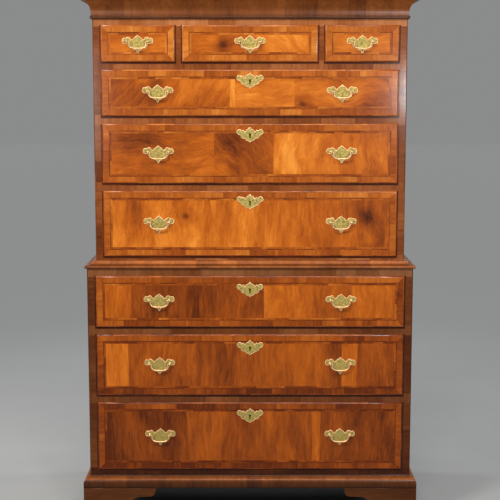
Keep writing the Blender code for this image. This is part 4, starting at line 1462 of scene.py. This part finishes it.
@dataclass
class Carcase(Maker):
    """One chest's case: boards, rails and dividers, with crossbanded facings towards the front.

    rows names the drawers of each row, from the lowest row up. rail_tones are the tones of the
    facings on the rails, from the lowest up. Two dark lines lie round each drawer, which reach
    further under it than beside it, and whose shades are shares of the case's own: old wax, and
    the painted shadow that the drawer's lip casts.
    """

    rows: tuple[tuple[str, ...], ...]
    seed: int
    shade: float
    rail_tones: tuple[float, ...]
    stile_tone: float = -0.24
    facing_spread: float = 0.26
    side_tones: Flat = (-0.1, 0.1)
    frame_spread: float = 0.2
    frame_shade: float = 0.9
    side_board: float = 0.020
    top_board: float = 0.020
    rail_depth: float = 0.060
    dust_board: float = 0.012
    dust_width: float = 0.150
    partition: float = 0.012
    guide_height: float = 0.014
    lip_overlap: float = 0.004
    rebate_lip: float = 0.010
    back_board: float = 0.010
    board_edge: float = 0.0005
    facing_pitch: float = 0.105
    side_leaf: float = 0.170
    corner_round: float = 0.0028
    corner_steps: int = 5
    wax_and_shadow_reaches: Flat = (0.0036, 0.0064)
    side_wax_and_shadow_reaches: Flat = (0.0022, 0.0040)
    wax_and_shadow_shades: Flat = (0.50, 1.05)
    wax_and_shadow_tone: float = -0.8
    wax_and_shadow_height: float = 0.00012

    def __post_init__(self) -> None:
        """Take the case and its openings from the frame."""
        self.node = f"{self.name}_carcase"
        self.low, self.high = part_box(self.node)
        self.openings = []
        lap = self.lip_overlap
        for row in self.rows:
            boxes = [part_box(f"{drawer}_drawer_front") for drawer in row]
            spans = [(low.x + lap, low.z + lap, high.x - lap, high.z - lap) for low, high in boxes]
            self.openings.append(spans)
        self.floors = [spans[0][1] for spans in self.openings]
        self.front = self.low.y
        self.rail_front = self.front + VENEER + HAIR
        self.runway = self.front + self.rail_depth + HAIR
        self.rear = self.high.y - self.back_board - SEAT_GAP
        self.inner_left = self.low.x + self.side_board + HAIR
        self.inner_right = self.high.x - self.side_board - HAIR
        self.pile = LeafPile(self.seed, self.facing_spread, self.shade)
        self.boards = LeafPile(self.seed + 7, self.frame_spread, self.frame_shade)

    def rails(self) -> list[Flat]:
        """(bottom, top) of every rail, from the lowest up."""
        ceilings = [spans[0][3] for spans in self.openings]
        return list(zip([self.low.z] + ceilings, self.floors + [self.high.z]))

    def stiles(self) -> list[tuple[float, float, float, float]]:
        """Find the uprights between the rails.

        Returns:
            (left, bottom, right, top) of each, from left to right in each row.
        """
        places = []
        for spans in self.openings:
            edges = [self.low.x] + [x for span in spans for x in (span[0], span[2])] + [self.high.x]
            for left, right in zip(edges[::2], edges[1::2]):
                places.append((left, spans[0][1], right, spans[0][3]))
        return places

    def add_facing_run(self, low: Flat, high: Flat, upright: bool, tone: float) -> None:
        """Add a run of short leaves on the case's front.

        Args:
            low: Lowest (x, z) corner of the run.
            high: Highest corner.
            upright: Whether the run goes up, with its grain level. If not, the other way round.
            tone: Middle tone of the leaves.
        """
        gap = HAIR / 2
        start, end = (low[1], high[1]) if upright else (low[0], high[0])
        joints = stations(start, end, self.facing_pitch, self.pile.draw)
        for near, far in zip(joints, joints[1:]):
            if upright:
                (left, bottom), (right, top) = (low[0], near + gap), (high[0], far - gap)
            else:
                (left, bottom), (right, top) = (near + gap, low[1] + gap), (far - gap, high[1] - gap)
            leaf = self.pile.deal(ALONG_X if upright else ALONG_Z, tone)
            self.add_box((left, self.front, bottom), (right, self.front + VENEER, top), leaf)

    def build_facings(self) -> None:
        """Build the crossbanded facings of the rails, stiles and dividers."""
        near, far = self.low.x + self.corner_round + HAIR, self.high.x - self.corner_round - HAIR
        for (bottom, top), tone in zip(self.rails(), self.rail_tones):
            self.add_facing_run((near, bottom), (far, top), False, tone)
        for left, bottom, right, top in self.stiles():
            low, high = (max(left, near), bottom), (min(right, far), top)
            self.add_facing_run(low, high, True, self.stile_tone)
        for side in (-1, 1):
            self.add_corner(side)
        # Old wax and painted shadow round each drawer's lip
        for spans in self.openings:
            for left, bottom, right, top in spans:
                self.add_wax_and_shadow((left, bottom), (right, top))
        finishes = [self.shop.facing, self.shop.field]
        self.to_piece("_case_facings", Slot.CASE, finishes, [self.node])

    def add_corner(self, side: int) -> None:
        """Add the worn, rounded corner between the front and one side.

        Args:
            side: -1 for the left side, 1 for the right one.
        """
        outer = self.high.x if side > 0 else self.low.x
        inner = outer - side * self.corner_round
        curve = [(inner, self.front)]
        curve += quarter(curve[0], (outer, self.front + self.corner_round), self.corner_steps, False)
        curve.append((inner, self.front + self.corner_round))
        joints = stations(self.low.z, self.high.z, self.facing_pitch, self.pile.draw)
        loops = [[(x, y, z) for x, y in curve] for z in joints]
        self.add_skin(loops, [self.pile.deal(ALONG_X, self.stile_tone) for _ in joints])

    def add_wax_and_shadow(self, low: Flat, high: Flat) -> None:
        """Add the dark lines under and beside a drawer's lip: old wax, and the painted shadow that the lip
        casts.

        Args:
            low: Lowest (x, z) corner of the drawer's opening.
            high: Highest corner of the opening.
        """
        near, far = low[0] - self.lip_overlap, high[0] + self.lip_overlap
        bottom, top = low[1] - self.lip_overlap, high[1] + self.lip_overlap
        foot = side = -HAIR
        front, back = self.front - self.wax_and_shadow_height, self.front - self.wax_and_shadow_height / 3
        for next_foot, next_side, shade in zip(self.wax_and_shadow_reaches, self.side_wax_and_shadow_reaches, self.wax_and_shadow_shades):
            leaf = Leaf(tone=self.wax_and_shadow_tone, shade=shade * self.shade)
            for left, below, right, above in (
                (near - next_side, bottom - next_foot, far + next_side, bottom - foot),
                (near - next_side, bottom - foot, near - side, top),
                (far + side, bottom - foot, far + next_side, top),
            ):
                self.add_box((left, front, below), (right, back, above), leaf, 1)
            foot, side = next_foot + HAIR, next_side + HAIR

    def draft_rails(self) -> None:
        """Draft the rails and uprights behind the facings."""
        left_end, right_end, back = self.inner_left, self.inner_right, self.runway - HAIR
        for bottom, top in self.rails():
            low, high = (left_end, self.rail_front, bottom), (right_end, back, top)
            self.add_box(low, high, self.boards.deal(ALONG_X))
        for left, bottom, right, top in self.stiles():
            low = (max(left, left_end), self.rail_front, bottom + HAIR)
            self.add_box(low, (min(right, right_end), back, top - HAIR), self.boards.deal(ALONG_Z))

    def draft_dust_boards(self) -> None:
        """Draft the bottom, the dust boards that the drawers slide on, and the top."""
        spans = [(self.low.z, self.floors[0])]
        spans += [(floor - self.dust_board, floor) for floor in self.floors[1:]]
        spans.append((self.high.z - self.top_board, self.high.z))
        for bottom, top in spans:
            joints = stations(self.runway, self.rear, self.dust_width, self.boards.draw)
            for near, far in zip(joints, joints[1:]):
                low, high = (self.inner_left, near, bottom), (self.inner_right, far - HAIR, top)
                self.add_box(low, high, self.boards.deal(ALONG_X))

    def draft_guides(self) -> None:
        """Draft the partitions between short drawers, and the strips that guide every drawer."""
        roofs = [floor - self.dust_board for floor in self.floors[1:]] + [self.high.z - self.top_board]
        for spans, floor, roof in zip(self.openings, self.floors, roofs):
            walls = [self.inner_left]
            for before, after in zip(spans, spans[1:]):
                middle = (before[2] + after[0]) / 2
                left, right = middle - self.partition / 2, middle + self.partition / 2
                low, high = (left, self.runway, floor + HAIR), (right, self.rear, roof - HAIR)
                self.add_box(low, high, self.boards.deal(ALONG_Y))
                walls += [left - HAIR, right + HAIR]
            walls.append(self.inner_right)
            for span, left, right in zip(spans, walls[::2], walls[1::2]):
                for near, far in ((left, span[0]), (span[2], right)):
                    low, high = (near, self.runway, floor + HAIR), (far, self.rear, floor + self.guide_height)
                    self.add_box(low, high, self.boards.deal(ALONG_Y))

    def build_frame(self) -> None:
        """Build everything behind the facings and between the sides."""
        self.draft_rails()
        self.draft_dust_boards()
        self.draft_guides()
        self.to_piece("_case_frame", Slot.PINE, [self.shop.oak], [self.node], False, self.board_edge)

    def build_side(self, side: int) -> None:
        """Build one side: a rebated board with upright leaves on its outer face.

        Args:
            side: -1 for the left side, 1 for the right one.
        """
        outer = self.high.x if side > 0 else self.low.x
        ground = outer - side * (VENEER + HAIR)
        inner = outer - side * self.side_board
        lip = outer - side * self.rebate_lip
        board_tone, leaf_tone = self.side_tones
        plan = [
            (ground, self.rail_front + self.corner_round),
            (ground - side * self.corner_round, self.rail_front), (inner, self.rail_front),
            (inner, self.rear), (lip, self.rear), (lip, self.high.y), (ground, self.high.y),
        ]
        board = self.pile.deal(ALONG_Z, board_tone)
        self.add_prism(plan, Along.UP, self.low.z, self.high.z, board, 1)
        start = self.front + self.corner_round + HAIR
        joints = stations(start, self.high.y, self.side_leaf, self.pile.draw)
        left, right = sorted((outer, ground + side * HAIR))
        for near, far in zip(joints, joints[1:]):
            low = (left, near + HAIR / 2, self.low.z)
            high = (right, far - HAIR / 2, self.high.z)
            self.add_box(low, high, self.pile.deal(ALONG_Z, leaf_tone))
        hand = "left" if side < 0 else "right"
        finishes = [self.shop.side, self.shop.oak]
        self.to_piece(f"_case_{hand}_side", Slot.CASE, finishes, [self.node], smooth=False)

    def build(self) -> None:
        """Build the whole case."""
        self.build_facings()
        self.build_frame()
        for side in (-1, 1):
            self.build_side(side)


@dataclass
class BackBoards(Maker):
    """Upright boards across the back of a case, with chamfered joints and nails.

    nail_steps gives (reach, radius) of a nail's head, from the board out.
    """

    seed: int
    count: int = 6
    board_spread: float = 0.3
    board_shade: float = 0.9
    chamfer: float = 0.0025
    nail_steps: tuple[Flat, ...] = ((HAIR, 0.0022), (0.0006, 0.00088))
    nail_sides: int = 6
    nail_inset: float = 0.018
    nail_stray: float = 0.006
    nail_rows: int = 4

    def build(self) -> None:
        """Build the boards and their nails."""
        node = f"{self.name}_back_boards"
        low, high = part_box(node)
        pile = LeafPile(self.seed, self.board_spread, self.board_shade)
        joints = stations(low.x, high.x, (high.x - low.x) / self.count, pile.draw)
        outer = high.y - self.nail_steps[-1][0]
        for near, far in zip(joints, joints[1:]):
            left, right = near + HAIR, far - HAIR
            plan = [
                (left, low.y), (right, low.y), (right, outer - self.chamfer), (right - self.chamfer, outer),
                (left + self.chamfer, outer), (left, outer - self.chamfer),
            ]
            self.add_prism(plan, Along.UP, low.z, high.z, pile.deal(ALONG_Z))
            for row in range(self.nail_rows):
                share = row / (self.nail_rows - 1)
                z = low.z + self.nail_inset + (high.z - low.z - 2 * self.nail_inset) * share
                for x in (left + self.nail_inset, right - self.nail_inset):
                    stray = pile.draw.uniform(-self.nail_stray, self.nail_stray)
                    self.add_nail(x, outer, z + stray)
        self.to_piece("_back", Slot.PINE, [self.shop.pine, self.shop.iron], [node], smooth=False)

    def add_nail(self, x: float, y: float, z: float) -> None:
        """Add a rose-headed nail's head on the boards' outer face, at depth y."""
        loops = [circle(x, y + reach, z, radius, self.nail_sides, 0.5) for reach, radius in self.nail_steps]
        self.add_skin(loops, finish=1)


@dataclass
class MouldingRun(Maker):
    """A moulding mitred round the left side, front and right side of a case, in cross-grained lengths.

    Its list of (height, lightness) stops gives how light it is at heights over its bottom, as
    shares of its shade: old polish and dirt in the quirks, with painted highlights on the rounds
    and painted shade under the waist's nose and along the foot of the base.
    variety is how far the tones of its lengths lie apart.
    """

    case: str
    section: list[Flat]
    seed: int
    shade: float
    variety: float
    polish_and_painted_light: tuple[Flat, ...]
    pitch: float = 0.070
    corner_clearance: float = 0.045

    def polish_and_painted_light_at(self, height: float) -> float:
        """Read the stops of old polish and painted light and shade.

        Args:
            height: Height over the moulding's bottom.

        Returns:
            How light it is there, from old polish and painted light and shade.
        """
        for (low, low_shade), (high, high_shade) in zip(self.polish_and_painted_light, self.polish_and_painted_light[1:]):
            if height < high:
                share = max(height - low, 0.0) / (high - low)
                return low_shade + (high_shade - low_shade) * share
        return self.polish_and_painted_light[-1][1]

    def build(self) -> None:
        """Build the moulding."""
        case_low, case_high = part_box(f"{self.case}_carcase")
        low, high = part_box(self.name)
        half, front, back = case_high.x, case_low.y, high.y
        near, clear = front + self.corner_clearance, half - self.corner_clearance
        pile = LeafPile(self.seed, self.variety, self.shade)
        # Each place on the case is followed by the way that the moulding stands out from it
        ways = [(-half, y, -1, 0) for y in stations(back, near, self.pitch, pile.draw)]
        ways.append((-half, front, -1, -1))
        ways += [(x, front, 0, -1) for x in stations(-clear, clear, self.pitch, pile.draw)]
        ways.append((half, front, 1, -1))
        ways += [(half, y, 1, 0) for y in stations(near, back, self.pitch, pile.draw)]
        loops = []
        for x, y, out_x, out_y in ways:
            loops.append([(x + out_x * reach, y + out_y * reach, low.z + z) for reach, z in self.section])
        self.add_skin(loops, [pile.deal(ALONG_Z) for _ in loops])
        # Each face takes the lightness at its height: painted highlights and shade along with old polish
        count = len(self.section)
        shades = []
        for number, (_, z) in enumerate(self.section):
            shades.append(self.polish_and_painted_light_at((z + self.section[(number + 1) % count][1]) / 2))
        for number in range(count * (len(loops) - 1)):
            corners, leaf, finish = self.faces[number]
            leaf = replace(leaf, shade=leaf.shade * shades[number % count])
            self.faces[number] = (corners, leaf, finish)
        self.to_piece("_run", Slot.MOULDING, [self.shop.moulding], [self.name])


# (height over the moulding's bottom, how light it is): old polish and dirt, with painted highlights and
# painted shade
CORNICE_POLISH_AND_PAINTED_LIGHT = ((0.0, 0.42), (0.0100, 0.34), (0.0125, 0.75), (0.017, 1.15), (0.030, 1.35), (0.066, 1.6))
WAIST_POLISH_AND_PAINTED_LIGHT = (
    (0.0, 0.40), (0.0030, 0.85), (0.0065, 1.15), (0.0110, 0.50), (0.0150, 1.3), (0.0190, 1.5),
    (0.0235, 1.0),
)
BASE_POLISH_AND_PAINTED_LIGHT = (
    (0.0, 0.12), (0.0060, 0.45), (0.0170, 0.70), (0.0230, 0.80), (0.0270, 1.9), (0.0330, 1.9),
    (0.0360, 0.5), (0.040, 0.3),
)


@dataclass
class Mouldings:
    """The three mouldings, each drawn as a section of (reach, height) points."""

    bead_height: float = 0.0104
    bead_reach: float = 0.0065
    neck_height: float = 0.0066
    neck_reach: float = 0.003
    cove: float = 0.050
    fillet: float = 0.003
    ovolo: float = 0.008
    crown: float = 0.008
    waist_step: float = 0.026
    waist_height: float = 0.0235
    waist_rise: float = 0.0165
    nose_overhang: float = 0.0075
    nose_height: float = 0.0095
    nose_round: float = 0.0045
    waist_cove: float = 0.017
    waist_bead: float = 0.005
    plinth_reach: float = 0.0195
    strip_height: float = 0.018
    ledge: float = 0.030
    base_height: float = 0.022
    base_overlap: float = 0.009
    roll_height: float = 0.014
    roll_reach: float = 0.011
    quirk: float = 0.0015
    top_edge: float = 0.002
    fine: int = 8

    def cornice(self) -> list[Flat]:
        """Draw the bead, neck, cove, fillet, ovolo and crown.

        Returns:
            The section.
        """
        cove_bottom = self.bead_height + self.neck_height
        cove_top = cove_bottom + self.cove
        cove_reach = self.neck_reach + self.cove
        ovolo_bottom = cove_top + self.fillet
        ovolo_top = ovolo_bottom + self.ovolo
        reach = cove_reach + self.ovolo
        section = [(SEAT_GAP, 0.0), (self.neck_reach, 0.0)]
        section += quarter(section[-1], (self.bead_reach, self.bead_height / 2), self.fine, False)
        section += quarter(section[-1], (self.neck_reach, self.bead_height), self.fine, True)
        section.append((self.neck_reach, cove_bottom))
        section += quarter(section[-1], (cove_reach, cove_top), 2 * self.fine, True)
        section.append((cove_reach, ovolo_bottom))
        section += quarter(section[-1], (reach, ovolo_top), self.fine, False)
        section += [(reach, ovolo_top + self.crown), (SEAT_GAP, ovolo_top + self.crown)]
        return section

    def waist(self) -> list[Flat]:
        """Draw the nose, cove and bead over the seat on the lower case.

        Returns:
            The section.
        """
        lower_side = self.waist_step + SEAT_GAP
        seat = self.waist_height - self.waist_rise + SEAT_GAP
        nose_reach = self.waist_step + self.nose_overhang
        nose_back = nose_reach - self.nose_round
        bead_bottom = self.waist_height - self.waist_bead
        bead_reach = nose_back - self.waist_cove
        section = [(lower_side, 0.0), (nose_back, 0.0)]
        section += quarter(section[-1], (nose_reach, self.nose_height / 2), self.fine, False)
        section += quarter(section[-1], (nose_back, self.nose_height), self.fine, True)
        section += quarter(section[-1], (bead_reach, bead_bottom), self.fine, False)
        bead_top = (bead_reach - self.waist_bead, self.waist_height)
        section += quarter(section[-1], bead_top, self.fine, True)
        section += [(SEAT_GAP, self.waist_height), (SEAT_GAP, seat), (lower_side, seat)]
        return section

    def base(self) -> list[Flat]:
        """Draw the plain strip, roll and cove, with the ledge under the case.

        Returns:
            The section.
        """
        top = self.strip_height + self.base_height
        case_bottom = top - self.base_overlap - SEAT_GAP
        roll_reach = self.plinth_reach - self.quirk
        roll_top = (roll_reach - self.roll_reach, self.strip_height + self.roll_height)
        strip = [(self.plinth_reach, self.strip_height * step / self.fine) for step in range(self.fine + 1)]
        section = [(-self.ledge, 0.0)] + strip + [(roll_reach, self.strip_height)]
        section += quarter(section[-1], roll_top, self.fine, True)
        section.append((roll_top[0], roll_top[1] + self.top_edge))
        section += quarter(section[-1], (self.top_edge, top), self.fine, False)
        section += [(SEAT_GAP, top), (SEAT_GAP, case_bottom), (-self.ledge, case_bottom)]
        return section

    def build(self, shop: Workshop) -> None:
        """Build the three mouldings round the cases.

        Args:
            shop: The finishes.
        """
        for name, body, case, section, seed, shade, variety, polish_and_painted_light in (
            ("cornice", "upper_chest", "upper", self.cornice(), 31, 0.95, 0.24, CORNICE_POLISH_AND_PAINTED_LIGHT),
            ("waist_moulding", "lower_chest", "upper", self.waist(), 32, 1.2, 0.16, WAIST_POLISH_AND_PAINTED_LIGHT),
            ("base_moulding", "lower_chest", "lower", self.base(), 33, 0.60, 0.10, BASE_POLISH_AND_PAINTED_LIGHT),
        ):
            MouldingRun(shop, name, body, case, section, seed, shade, variety, polish_and_painted_light).build()


@dataclass
class BracketFoot(Maker):
    """Two shaped boards mitred at the corner, with a glue block in their angle.

    side is -1 on the left and 1 on the right, and ahead is -1 at the front and 1 at the back.
    cut_shares are of a wing's length and of the foot's height, round its cut edge: the step's top,
    its inner and its outer corner, the knee, the ankle and the toe.
    """

    side: int
    ahead: int
    seed: int
    shade: float
    board_spread: float = 0.12
    edge: float = 0.0008
    board: float = 0.022
    block: float = 0.040
    side_wing: float = 0.229
    cut_shares: tuple[Flat, ...] = (
        (1.0, 1.0), (0.935, 0.775), (0.785, 0.765), (0.665, 0.6), (0.575, 0.24), (0.56, 0.0),
    )
    steps: int = 8

    def wing_outline(self, length: float, height: float) -> list[Flat]:
        """Draw one board.

        Args:
            length: The wing's length.
            height: The foot's height.

        Returns:
            (distance from the corner, height) from the corner's top round the cut edge to its bottom.
        """
        top, inner, outer, knee, ankle, toe = [(x * length, z * height) for x, z in self.cut_shares]
        outline = [(0.0, height), top] + quarter(top, inner, self.steps, True) + [outer]
        outline += quarter(outer, knee, self.steps, False) + quarter(knee, ankle, self.steps, True)
        return outline + [toe, (0.0, 0.0)]

    def build(self) -> None:
        """Build the foot."""
        low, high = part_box(self.name)
        corner_x = high.x if self.side > 0 else low.x
        corner_y = high.y if self.ahead > 0 else low.y
        end_wing = high.x - low.x
        height = high.z - low.z
        pile = LeafPile(self.seed, self.board_spread, self.shade)
        for across, length in ((True, end_wing), (False, self.side_wing)):
            loops = []
            for depth in (0.0, self.board):
                loop = []
                for run, z in self.wing_outline(length, height):
                    out = max(run, depth + HAIR / 2)
                    x_in, y_in = (out, depth) if across else (depth, out)
                    loop.append((corner_x - self.side * x_in, corner_y - self.ahead * y_in, low.z + z))
                loops.append(loop)
            self.add_skin(loops, [pile.deal(ALONG_X if across else ALONG_Y)])
        near, far = self.board + HAIR, self.board + self.block
        xs = sorted((corner_x - self.side * near, corner_x - self.side * far))
        ys = sorted((corner_y - self.ahead * near, corner_y - self.ahead * far))
        self.add_box((xs[0], ys[0], low.z), (xs[1], ys[1], high.z), pile.deal(ALONG_Z), 1)
        finishes = [self.shop.facing, self.shop.oak]
        self.to_piece("_bracket", Slot.CASE, finishes, [self.name], edge=self.edge)


@dataclass(frozen=True)
class Lamp:
    """One soft lamp, hidden from the camera."""

    name: str
    place: Point
    aim: Point
    size: Flat
    power: float
    colour: Colour

    def hang(self) -> None:
        """Hang the lamp in the scene."""
        data = bpy.data.lights.new(self.name, "AREA")
        data.shape = "RECTANGLE"
        data.size, data.size_y = self.size
        data.energy = self.power
        data.color = self.colour
        lamp = bpy.data.objects.new(self.name, data)
        bpy.context.scene.collection.objects.link(lamp)
        lamp.location = self.place
        lamp.rotation_euler = (Vector(self.aim) - Vector(self.place)).to_track_quat("-Z", "Y").to_euler()
        lamp.visible_camera = False


WARM: Colour = (1.0, 0.965, 0.91)
COOL: Colour = (0.93, 0.97, 1.0)
LAMPS = (
    Lamp("key_lamp", (-2.9, -3.8, 4.6), (0.0, -0.25, 1.0), (1.0, 1.0), 202.0, WARM),
    Lamp("overhead_lamp", (0.2, -3.8, 5.6), (0.0, -0.25, 1.0), (2.0, 0.8), 142.0, WARM),
    Lamp("right_glow", (1.16, -3.87, 1.38), (0.48, -0.25, 1.37), (0.36, 0.24), 46.0, COOL),
    Lamp("left_side_lamp", (-4.2, 1.0, 2.6), (-0.5, 0.1, 0.9), (1.2, 1.2), 65.0, COOL),
    Lamp("right_side_lamp", (4.2, 1.0, 2.6), (0.5, 0.1, 0.9), (1.2, 1.2), 65.0, COOL),
    Lamp("rear_lamp", (0.0, 4.6, 3.2), (0.0, 0.3, 0.9), (2.0, 1.2), 110.0, COOL),
    Lamp("left_glow", (-1.16, -3.87, 1.32), (-0.48, -0.25, 1.30), (0.34, 0.62), 17.0, COOL),
)


def seen_rays(tree: bpy.types.NodeTree) -> Socket:
    """Tell the rays that show a surface from those that only light the chest.

    Args:
        tree: Where the nodes go.

    Returns:
        One for the camera's rays and those that gloss or glass passes on, and zero for all others.
    """
    path = tree.nodes.new("ShaderNodeLightPath")
    seen = path.outputs["Is Camera Ray"]
    for kind in ("Is Glossy Ray", "Is Transmission Ray"):
        most = tree.nodes.new("ShaderNodeMath")
        most.operation = "MAXIMUM"
        tree.links.new(seen, most.inputs[0])
        tree.links.new(path.outputs[kind], most.inputs[1])
        seen = most.outputs[0]
    return seen


@dataclass
class Studio:
    """A plain floor, soft light and the photograph's camera.

    The floor is dark under the chest, between the two shares of shade_half that shade_edge gives.
    Far out it fades into the surround. floor_bounce and fill_level are what floor and surround
    give the chest as light, and floor_colour and surround are what is seen.
    """

    image_side: float = 500.0
    focal_pixels: float = 1176.0
    sensor: float = 36.0
    camera_height: float = 1.35
    camera_reach: float = 3.615
    face_plane: float = -0.25
    tilt: float = math.radians(7.4)
    floor_half: float = 30.0
    floor_colour: Colour = (0.36, 0.36, 0.355)
    floor_mottle: float = 0.94
    mottle_scale: float = 3.0
    floor_roughness: float = 0.8
    floor_specular: float = 0.1
    floor_bounce: Colour = (0.09, 0.085, 0.08)
    fade: Flat = (0.8, 3.6)
    shade_half: Point = (0.50, 0.24, 1.0)
    shade_edge: Flat = (0.70, 1.10)
    shade_colour: Colour = (0.012, 0.012, 0.011)
    surround: Colour = (0.258, 0.260, 0.262)
    fill_level: Colour = (0.112, 0.115, 0.120)

    def build_floor(self) -> None:
        """Lay the floor, which isn't part of the chest."""
        half = self.floor_half
        mesh = bpy.data.meshes.new("studio_floor")
        corners = [(x, z, 0.0) for x, _, z in rectangle((-half, -half), (half, half), 0.0)]
        mesh.from_pydata(corners, [], [(0, 1, 2, 3)])
        floor = bpy.data.objects.new("studio_floor", mesh)
        bpy.context.scene.collection.objects.link(floor)
        board = NodeBoard("pale_floor")
        where = board.position()
        cloud = board.noise(where, self.mottle_scale, 3.0)
        pale = tuple(self.floor_mottle * part for part in self.floor_colour)
        fading = board.spread(board.vector("DISTANCE", where, (0.0, 0.0, 0.0)), self.fade, (0.0, 1.0))
        paint = board.ramp(cloud, ((0.3, pale), (0.7, self.floor_colour)))
        under = board.vector("DISTANCE", board.vector("DIVIDE", where, self.shade_half), (0.0, 0.0, 0.0))
        lit = board.spread(under, self.shade_edge, (0.0, 1.0))
        paint = board.blend("MIX", lit, (*self.shade_colour, 1.0), paint)
        seen = seen_rays(board.material.node_tree)
        paint = board.blend("MIX", seen, (*self.floor_bounce, 1.0), paint)
        distance = board.blend("MIX", seen, (*self.fill_level, 1.0), (*self.surround, 1.0))
        black = (0.0, 0.0, 0.0, 1.0)
        board.set_shader(
            Base_Color=board.blend("MIX", fading, paint, black),
            Roughness=self.floor_roughness,
            Specular_IOR_Level=self.floor_specular,
            Emission_Color=board.blend("MIX", fading, black, distance),
            Emission_Strength=1.0,
        )
        mesh.materials.append(board.material)

    def build_surround(self) -> None:
        """Set the plain grey round the studio, which is seen brighter than it lights."""
        world = bpy.data.worlds.new("studio_grey")
        bpy.context.scene.world = world
        world.use_nodes = True
        nodes, links = world.node_tree.nodes, world.node_tree.links
        backdrop = nodes["Background"]
        backdrop.inputs["Color"].default_value = (*self.surround, 1.0)
        fill = nodes.new("ShaderNodeBackground")
        fill.inputs["Color"].default_value = (*self.fill_level, 1.0)
        choice = nodes.new("ShaderNodeMixShader")
        links.new(seen_rays(world.node_tree), choice.inputs[0])
        links.new(fill.outputs[0], choice.inputs[1])
        links.new(backdrop.outputs[0], choice.inputs[2])
        links.new(choice.outputs[0], nodes["World Output"].inputs["Surface"])

    def build_camera(self) -> None:
        """Stand the camera where the photograph was taken."""
        data = bpy.data.cameras.new("studio_camera")
        data.sensor_width = self.sensor
        data.lens = self.sensor * self.focal_pixels / self.image_side
        camera = bpy.data.objects.new("studio_camera", data)
        bpy.context.scene.collection.objects.link(camera)
        camera.location = (0.0, self.face_plane - self.camera_reach, self.camera_height)
        camera.rotation_euler = (math.pi / 2 - self.tilt, 0.0, 0.0)
        bpy.context.scene.camera = camera

    def build(self) -> None:
        """Set up the whole studio."""
        self.build_floor()
        self.build_surround()
        for lamp in LAMPS:
            lamp.hang()
        self.build_camera()
        bpy.context.scene.view_settings.view_transform = "Standard"


DRAWERS = (
    Drawer("lower_third", 11, escutcheon_margin=0.017),
    Drawer("lower_second", 12, escutcheon_margin=0.017),
    Drawer("lower_first", 13, escutcheon_margin=0.017),
    Drawer("upper_third", 14),
    Drawer("upper_second", 15),
    Drawer("upper_first", 16),
    Drawer("short_left", 17, handles=("",), keyed=False),
    Drawer("short_middle", 18, handles=("",), keyed=False),
    Drawer("short_right", 19, handles=("",), keyed=False),
)


def main() -> None:
    """Build the chest and the studio, piece by piece."""
    logging.basicConfig(level=logging.INFO, format="%(message)s")
    Studio().build()
    shop = Workshop()
    upper_rows = (
        ("upper_third",), ("upper_second",), ("upper_first",), ("short_left", "short_middle", "short_right"),
    )
    lower_rows = (("lower_third",), ("lower_second",), ("lower_first",))
    upper_tones = (0.04, -0.06, 0.02, -0.02, 0.44)
    # The lower case's shade and rail tones are partly painted shade: darker than the upper case, and darkest
    # on the lowest rail, in the shadow above the base moulding
    lower_tones = (-0.80, 0.04, 0.14, 0.46)
    for case in (
        Carcase(shop, "upper", "upper_chest", upper_rows, seed=21, shade=0.95, rail_tones=upper_tones),
        Carcase(shop, "lower", "lower_chest", lower_rows, seed=22, shade=0.51, rail_tones=lower_tones),
        BackBoards(shop, "upper", "upper_chest", seed=23),
        BackBoards(shop, "lower", "lower_chest", seed=24),
    ):
        case.build()
    Mouldings().build(shop)
    for side, side_name in ((-1, "left"), (1, "right")):
        for ahead, end_name in ((-1, "front"), (1, "rear")):
            node = f"{end_name}_{side_name}_foot"
            seed = 40 + side + 3 * ahead
            BracketFoot(shop, node, "lower_chest", side, ahead, seed, shade=0.30).build()
    for drawer in DRAWERS:
        drawer.build(shop)


if __name__ == "__main__":
    main()
